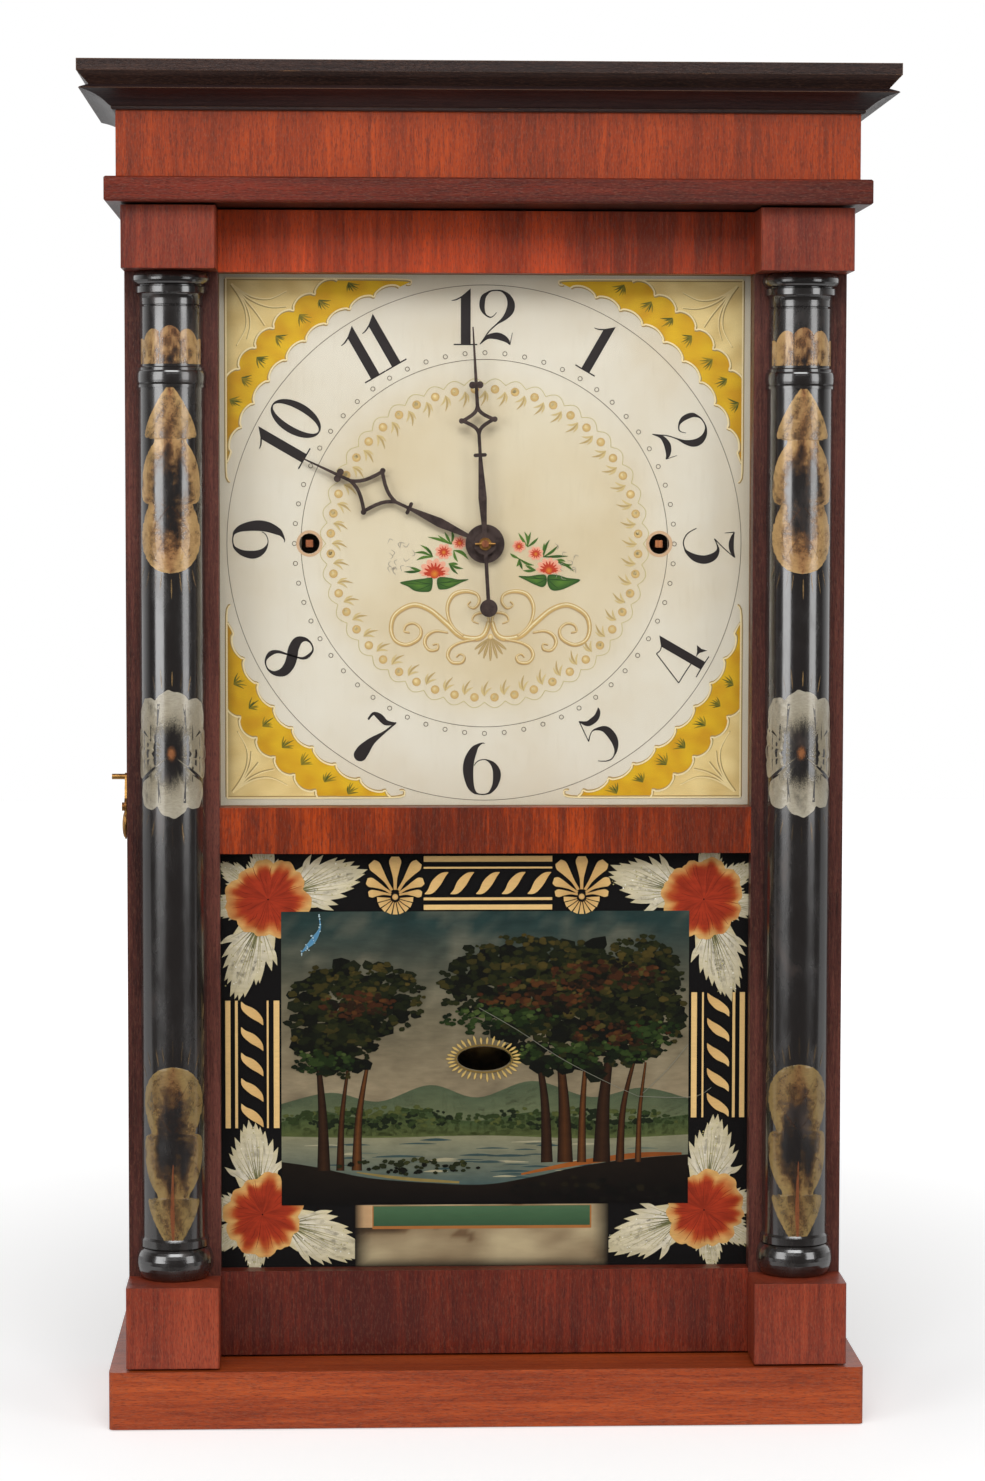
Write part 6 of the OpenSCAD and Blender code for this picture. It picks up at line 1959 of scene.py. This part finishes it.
@dataclass
class DoorDress:
    """The woods of the door frame and its corner blocks."""

    def build(self) -> None:
        """Dresses the door."""
        dress_all(
            (Wood("stile_mahogany", (108, 58, 48), (80, 40, 33), (46, 19, 16), seed=8.1, bands=0.7),
             ("door_stiles",)),
            (Wood("top_rail_mahogany", (207, 73, 18), (165, 55, 14), (117, 38, 12), seed=9.6,
                  band_scale=30, bloom=0.2), ("top_rail",)),
            (Wood("middle_rail_mahogany", (176, 63, 2), (119, 37, 2), (85, 25, 3), seed=10.2,
                  band_scale=26, bands=1.25), ("middle_rail",)),
            (Wood("bottom_rail_mahogany", (134, 46, 23), (104, 34, 17), (74, 22, 14), seed=11.9,
                  band_scale=18, bands=1.2), ("bottom_rail",)),
            (Wood("block_mahogany", (160, 68, 40), (133, 51, 30), (96, 34, 23), seed=12.4, bands=0.6,
                  bloom=0.22), ("corner_blocks",)),
            (Wood("strip_pine", (150, 108, 68), (120, 82, 50), (84, 54, 32), Grain.LEVEL, gloss=0.6,
                  pores=0.2, seed=13.0), ("glazing_strips",)))


@dataclass
class Hardware:
    """The brass, iron and steel parts outside the movement."""

    def build(self) -> None:
        """Dresses the hinges, the latch, the hands and the weights."""
        dress_all(
            (Metal("old_brass", (196, 150, 84), (132, 88, 48), 0.38),
             ("hinge_case_leaves", "hinge_door_leaves", "latch_hook", "latch_rosette", "latch_stud",
              "hand_collet")),
            (Metal("blued_iron", (82, 66, 62), (56, 42, 40), 0.44, metallic=0.55, scale=160),
             ("hour_hand", "minute_hand")),
            (Metal("cast_iron", (72, 64, 60), (92, 58, 40), 0.62, metallic=0.7, scale=60, pits=0.0003),
             ("left_weight", "right_weight")))


@dataclass
class MovementDress:
    """The wooden movement, the bell and the pendulum."""

    def build(self) -> None:
        """Dresses the movement."""
        dress_all(
            (Wood("plate_oak", (190, 148, 96), (158, 112, 66), (112, 74, 42), Grain.LEVEL, gloss=0.55,
                  pores=0.6, seed=14.1), ("front_plate", "back_plate", "plate_pillars")),
            (Wood("wheel_cherry", (196, 128, 80), (164, 96, 58), (120, 66, 40), gloss=0.5, pores=0.15,
                  bands=0.7, seed=15.3),
             ("time_great_wheel", "time_drum", "time_second_wheel", "centre_wheel", "third_wheel",
              "escape_wheel", "motion_wheel", "hour_wheel", "strike_great_wheel", "strike_drum",
              "pin_wheel", "warning_wheel", "fly", "count_wheel", "left_pulley", "right_pulley")),
            (Metal("drawn_iron", (112, 104, 98), (84, 66, 56), 0.42, metallic=0.9),
             ("studs_and_posts", "verge", "count_lever", "hammer")),
            (Metal("worn_brass", (206, 162, 92), (150, 108, 58), 0.32), ("pendulum_rod", "pendulum_bob")),
            (Metal("bell_metal", (190, 158, 104), (140, 110, 70), 0.34, scale=50), ("bell",)))


@dataclass
class WeightCords:
    """Twisted cords from the drums over the pulleys to the weights, in millimetres."""

    radius: float = 0.95
    lay: float = 5.2
    strands: int = 3
    sides: int = 12
    drum_r: float = 14.5
    pulley_r: float = 10.5

    def rope(self, name: str, path: list[tuple], material: Material) -> bpy.types.Object:
        """Makes a twisted rope along a path.

        Args:
            name: The name of the piece.
            path: The points of its middle line, in millimetres.
            material: Its material.

        Returns:
            The new object.
        """
        line = [Vector(p) for p in path]
        spots, faces = [], []
        n, run = self.sides, 0.0
        side = Vector((0.0, 1.0, 0.0))
        for i, p in enumerate(line):
            ahead = (line[min(i + 1, len(line) - 1)] - line[max(i - 1, 0)]).normalized()
            other = ahead.cross(side).normalized()
            if i:
                run += (p - line[i - 1]).length
            for a in angles(n):
                bulge = 0.80 + 0.20 * abs(math.cos(self.strands / 2 * (a - 2 * math.pi * run / self.lay)))
                spots.append((p + (side * math.cos(a) + other * math.sin(a)) * self.radius * bulge) * MM)
        for i in range(0, (len(line) - 1) * n, n):
            faces += [(i + k, i + (k + 1) % n, i + n + (k + 1) % n, i + n + k) for k in range(n)]
        faces.append(tuple(range(n)))
        faces.append(tuple((len(line) - 1) * n + k for k in reversed(range(n))))
        mesh = bpy.data.meshes.new(name)
        mesh.from_pydata(spots, [], faces)
        mesh.materials.append(material)
        mesh.polygons.foreach_set("use_smooth", [True] * len(mesh.polygons))
        mesh.update()
        made = place_object(name, mesh)
        return made

    def build(self) -> None:
        """Makes the four lengths of cord."""
        g = Graph("hemp_cord")
        fibre = g.cloud(g.mapped((900, 900, 300)), 3.0, 0.6)
        tint = g.ramp(fibre, [(0.3, srgb(132, 108, 76)), (0.6, srgb(186, 162, 122)),
                              (0.8, srgb(206, 186, 150))])
        g.surface(Base_Color=tint, Roughness=0.85, Normal=g.bump(fibre, 0.0001))
        for side, word in ((-1, "left"), (1, "right")):
            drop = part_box(f"{word}_cord_drop")
            x, y = ((drop[0][k] + drop[1][k]) / 2 / MM for k in (0, 1))
            low, high = drop[0][2] / MM, drop[1][2] / MM
            steps = int(high - low)
            hung = [(x, y, low + (high - low) * i / steps) for i in range(steps + 1)]
            made = self.rope(f"{word}_weight_cord", hung, g.owner)
            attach(made, "case")
            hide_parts(f"{word}_cord_drop")
            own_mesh(made)
            run = [(side * u, y, z) for u, z in self.run_to_drum(abs(x) - self.pulley_r, high)]
            made = self.rope(f"{word}_drum_cord", run, g.owner)
            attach(made, "case")
            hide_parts("cord_runs")
            LOG.info("%s weight cord: %.0f mm hang from its pulley", word, high - low)

    def run_to_drum(self, pulley_x: float, pulley_z: float) -> list[tuple]:
        """Gives the path of a cord from its drum to its pulley and over it, on the right-hand side.

        Args:
            pulley_x: The pulley's middle, across.
            pulley_z: The pulley's middle, up.

        Returns:
            The points, across and up.
        """
        v = Vector((pulley_x - WIND_X, pulley_z - DIAL_Z))
        a = math.atan2(v[1], v[0]) - math.acos((self.drum_r + self.pulley_r) / v.length)
        start = around(WIND_X, DIAL_Z, a, self.drum_r)
        stop = around(pulley_x, pulley_z, a + math.pi, self.pulley_r)
        count = int(math.dist(start, stop))
        turn = math.pi + a
        arc = int(turn * self.pulley_r * 1.4)
        return [between(start, stop, i / count) for i in range(count + 1)] + [
            around(pulley_x, pulley_z, turn * (1 - i / arc), self.pulley_r) for i in range(1, arc + 1)]


@dataclass
class Studio:
    """The camera, the lamps, the pale floor and the white surroundings."""

    eye: tuple[float, float, float] = (-0.0738, -1.9775, 0.4956)
    yaw: float = 0.0397
    pitch: float = -0.0659
    roll: float = 0.0016
    lens: float = 131.97

    def camera(self) -> None:
        """Sets the camera at the photograph's place."""
        ahead = Vector((math.sin(self.yaw) * math.cos(self.pitch), math.cos(self.yaw) * math.cos(self.pitch),
                        math.sin(self.pitch)))
        level = Vector((math.cos(self.yaw), -math.sin(self.yaw), 0.0))
        rise = level.cross(ahead)
        right = level * math.cos(self.roll) + rise * math.sin(self.roll)
        up = rise * math.cos(self.roll) - level * math.sin(self.roll)
        lens = bpy.data.cameras.new("camera")
        lens.sensor_width = 36.0
        lens.sensor_fit = "HORIZONTAL"
        lens.lens = self.lens
        lens.clip_start = 0.05
        made = place_object("camera", lens)
        grid = Matrix((right, up, -ahead)).transposed().to_4x4()
        grid.translation = Vector(self.eye)
        made.matrix_world = grid
        bpy.context.scene.camera = made

    def lamp(self, name: str, place: tuple, aim: tuple, size: tuple, power: float) -> None:
        """Adds a soft rectangular lamp.

        Args:
            name: Its name.
            place: Where it stands.
            aim: The point that it faces.
            size: Its width and height.
            power: Its power in watts.
        """
        light = bpy.data.lights.new(name, "AREA")
        light.shape = "RECTANGLE"
        light.size, light.size_y = size
        light.energy = power
        made = place_object(name, light)
        way = Vector(aim) - Vector(place)
        made.matrix_world = Matrix.Translation(place) @ way.to_track_quat("-Z", "Y").to_matrix().to_4x4()

    def surroundings(self) -> None:
        """Makes the world: white where it is seen, dim in front, and a plain soft light."""
        g = Graph("studio", world=True)
        bpy.context.scene.world = g.owner
        rays = g.node("LightPath").outputs
        way = g.node("SeparateXYZ", {0: g.node("TexCoord").outputs["Generated"]}).outputs
        behind = g.node("MapRange", {0: way[1], 1: -0.15, 2: 0.55, 3: 0.08, 4: 1.0}).outputs[0]
        mirrored = g.maths("MULTIPLY", rays["Is Glossy Ray"], behind)
        seen = g.maths("MAXIMUM", rays["Is Camera Ray"], rays["Is Transmission Ray"])
        light = g.maths("MULTIPLY", rays["Is Diffuse Ray"], 0.27)
        level = g.maths("MAXIMUM", g.maths("MAXIMUM", seen, mirrored), light)
        g.join(g.node("Background", {"Color": (1.0, 1.0, 1.0, 1.0), "Strength": level}))

    def floor(self) -> None:
        """Lays the pale floor."""
        mesh = bpy.data.meshes.new("floor")
        half, front, z = 4.0, -0.26, -0.0005
        mesh.from_pydata([(-half, front, z), (half, front, z), (half, half, z), (-half, half, z)], [],
                         [(0, 1, 2, 3)])
        g = Graph("pale_floor")
        seen = g.node("LightPath").outputs["Is Camera Ray"]
        place = g.node("TexCoord").outputs["Object"]
        away = g.node("VectorMath", {0: place}, operation="LENGTH").outputs["Value"]
        lift = g.node("MapRange", {0: away, 1: 0.25, 2: 1.3, 3: 0.34, 4: 0.90}).outputs[0]
        g.surface(Base_Color=(0.90, 0.90, 0.90, 1.0), Roughness=0.8, Specular_IOR_Level=0.1,
                  Emission_Color=(1.0, 1.0, 1.0, 1.0), Emission_Strength=g.maths("MULTIPLY", seen, lift))
        mesh.materials.append(g.owner)
        made = place_object("floor", mesh)

    def build(self) -> None:
        """Sets up the studio."""
        self.camera()
        self.surroundings()
        self.floor()
        self.lamp("left_softbox", (-1.95, -1.95, 0.82), (0, 0, 0.50), (1.5, 1.45), 27.0)
        self.lamp("right_softbox", (2.15, -2.0, 0.82), (0, 0, 0.50), (1.2, 1.45), 18.5)
        self.lamp("top_softbox", (0.0, -2.0, 1.9), (0, 0, 0.38), (1.8, 1.2), 36.5)
        bpy.context.scene.view_settings.view_transform = "Standard"


def main() -> None:
    """Dresses the clock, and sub-assembly by sub-assembly."""
    logging.basicConfig(level=logging.INFO, format="%(message)s")
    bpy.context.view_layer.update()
    for part in (CaseDress(), DoorDress(), ColumnStencils(), TabletPainting(), DialDress(), Hardware(),
                 MovementDress(), WeightCords(), Studio()):
        part.build()
        LOG.info("%s is done", type(part).__name__)


if __name__ == "__main__":
    main()
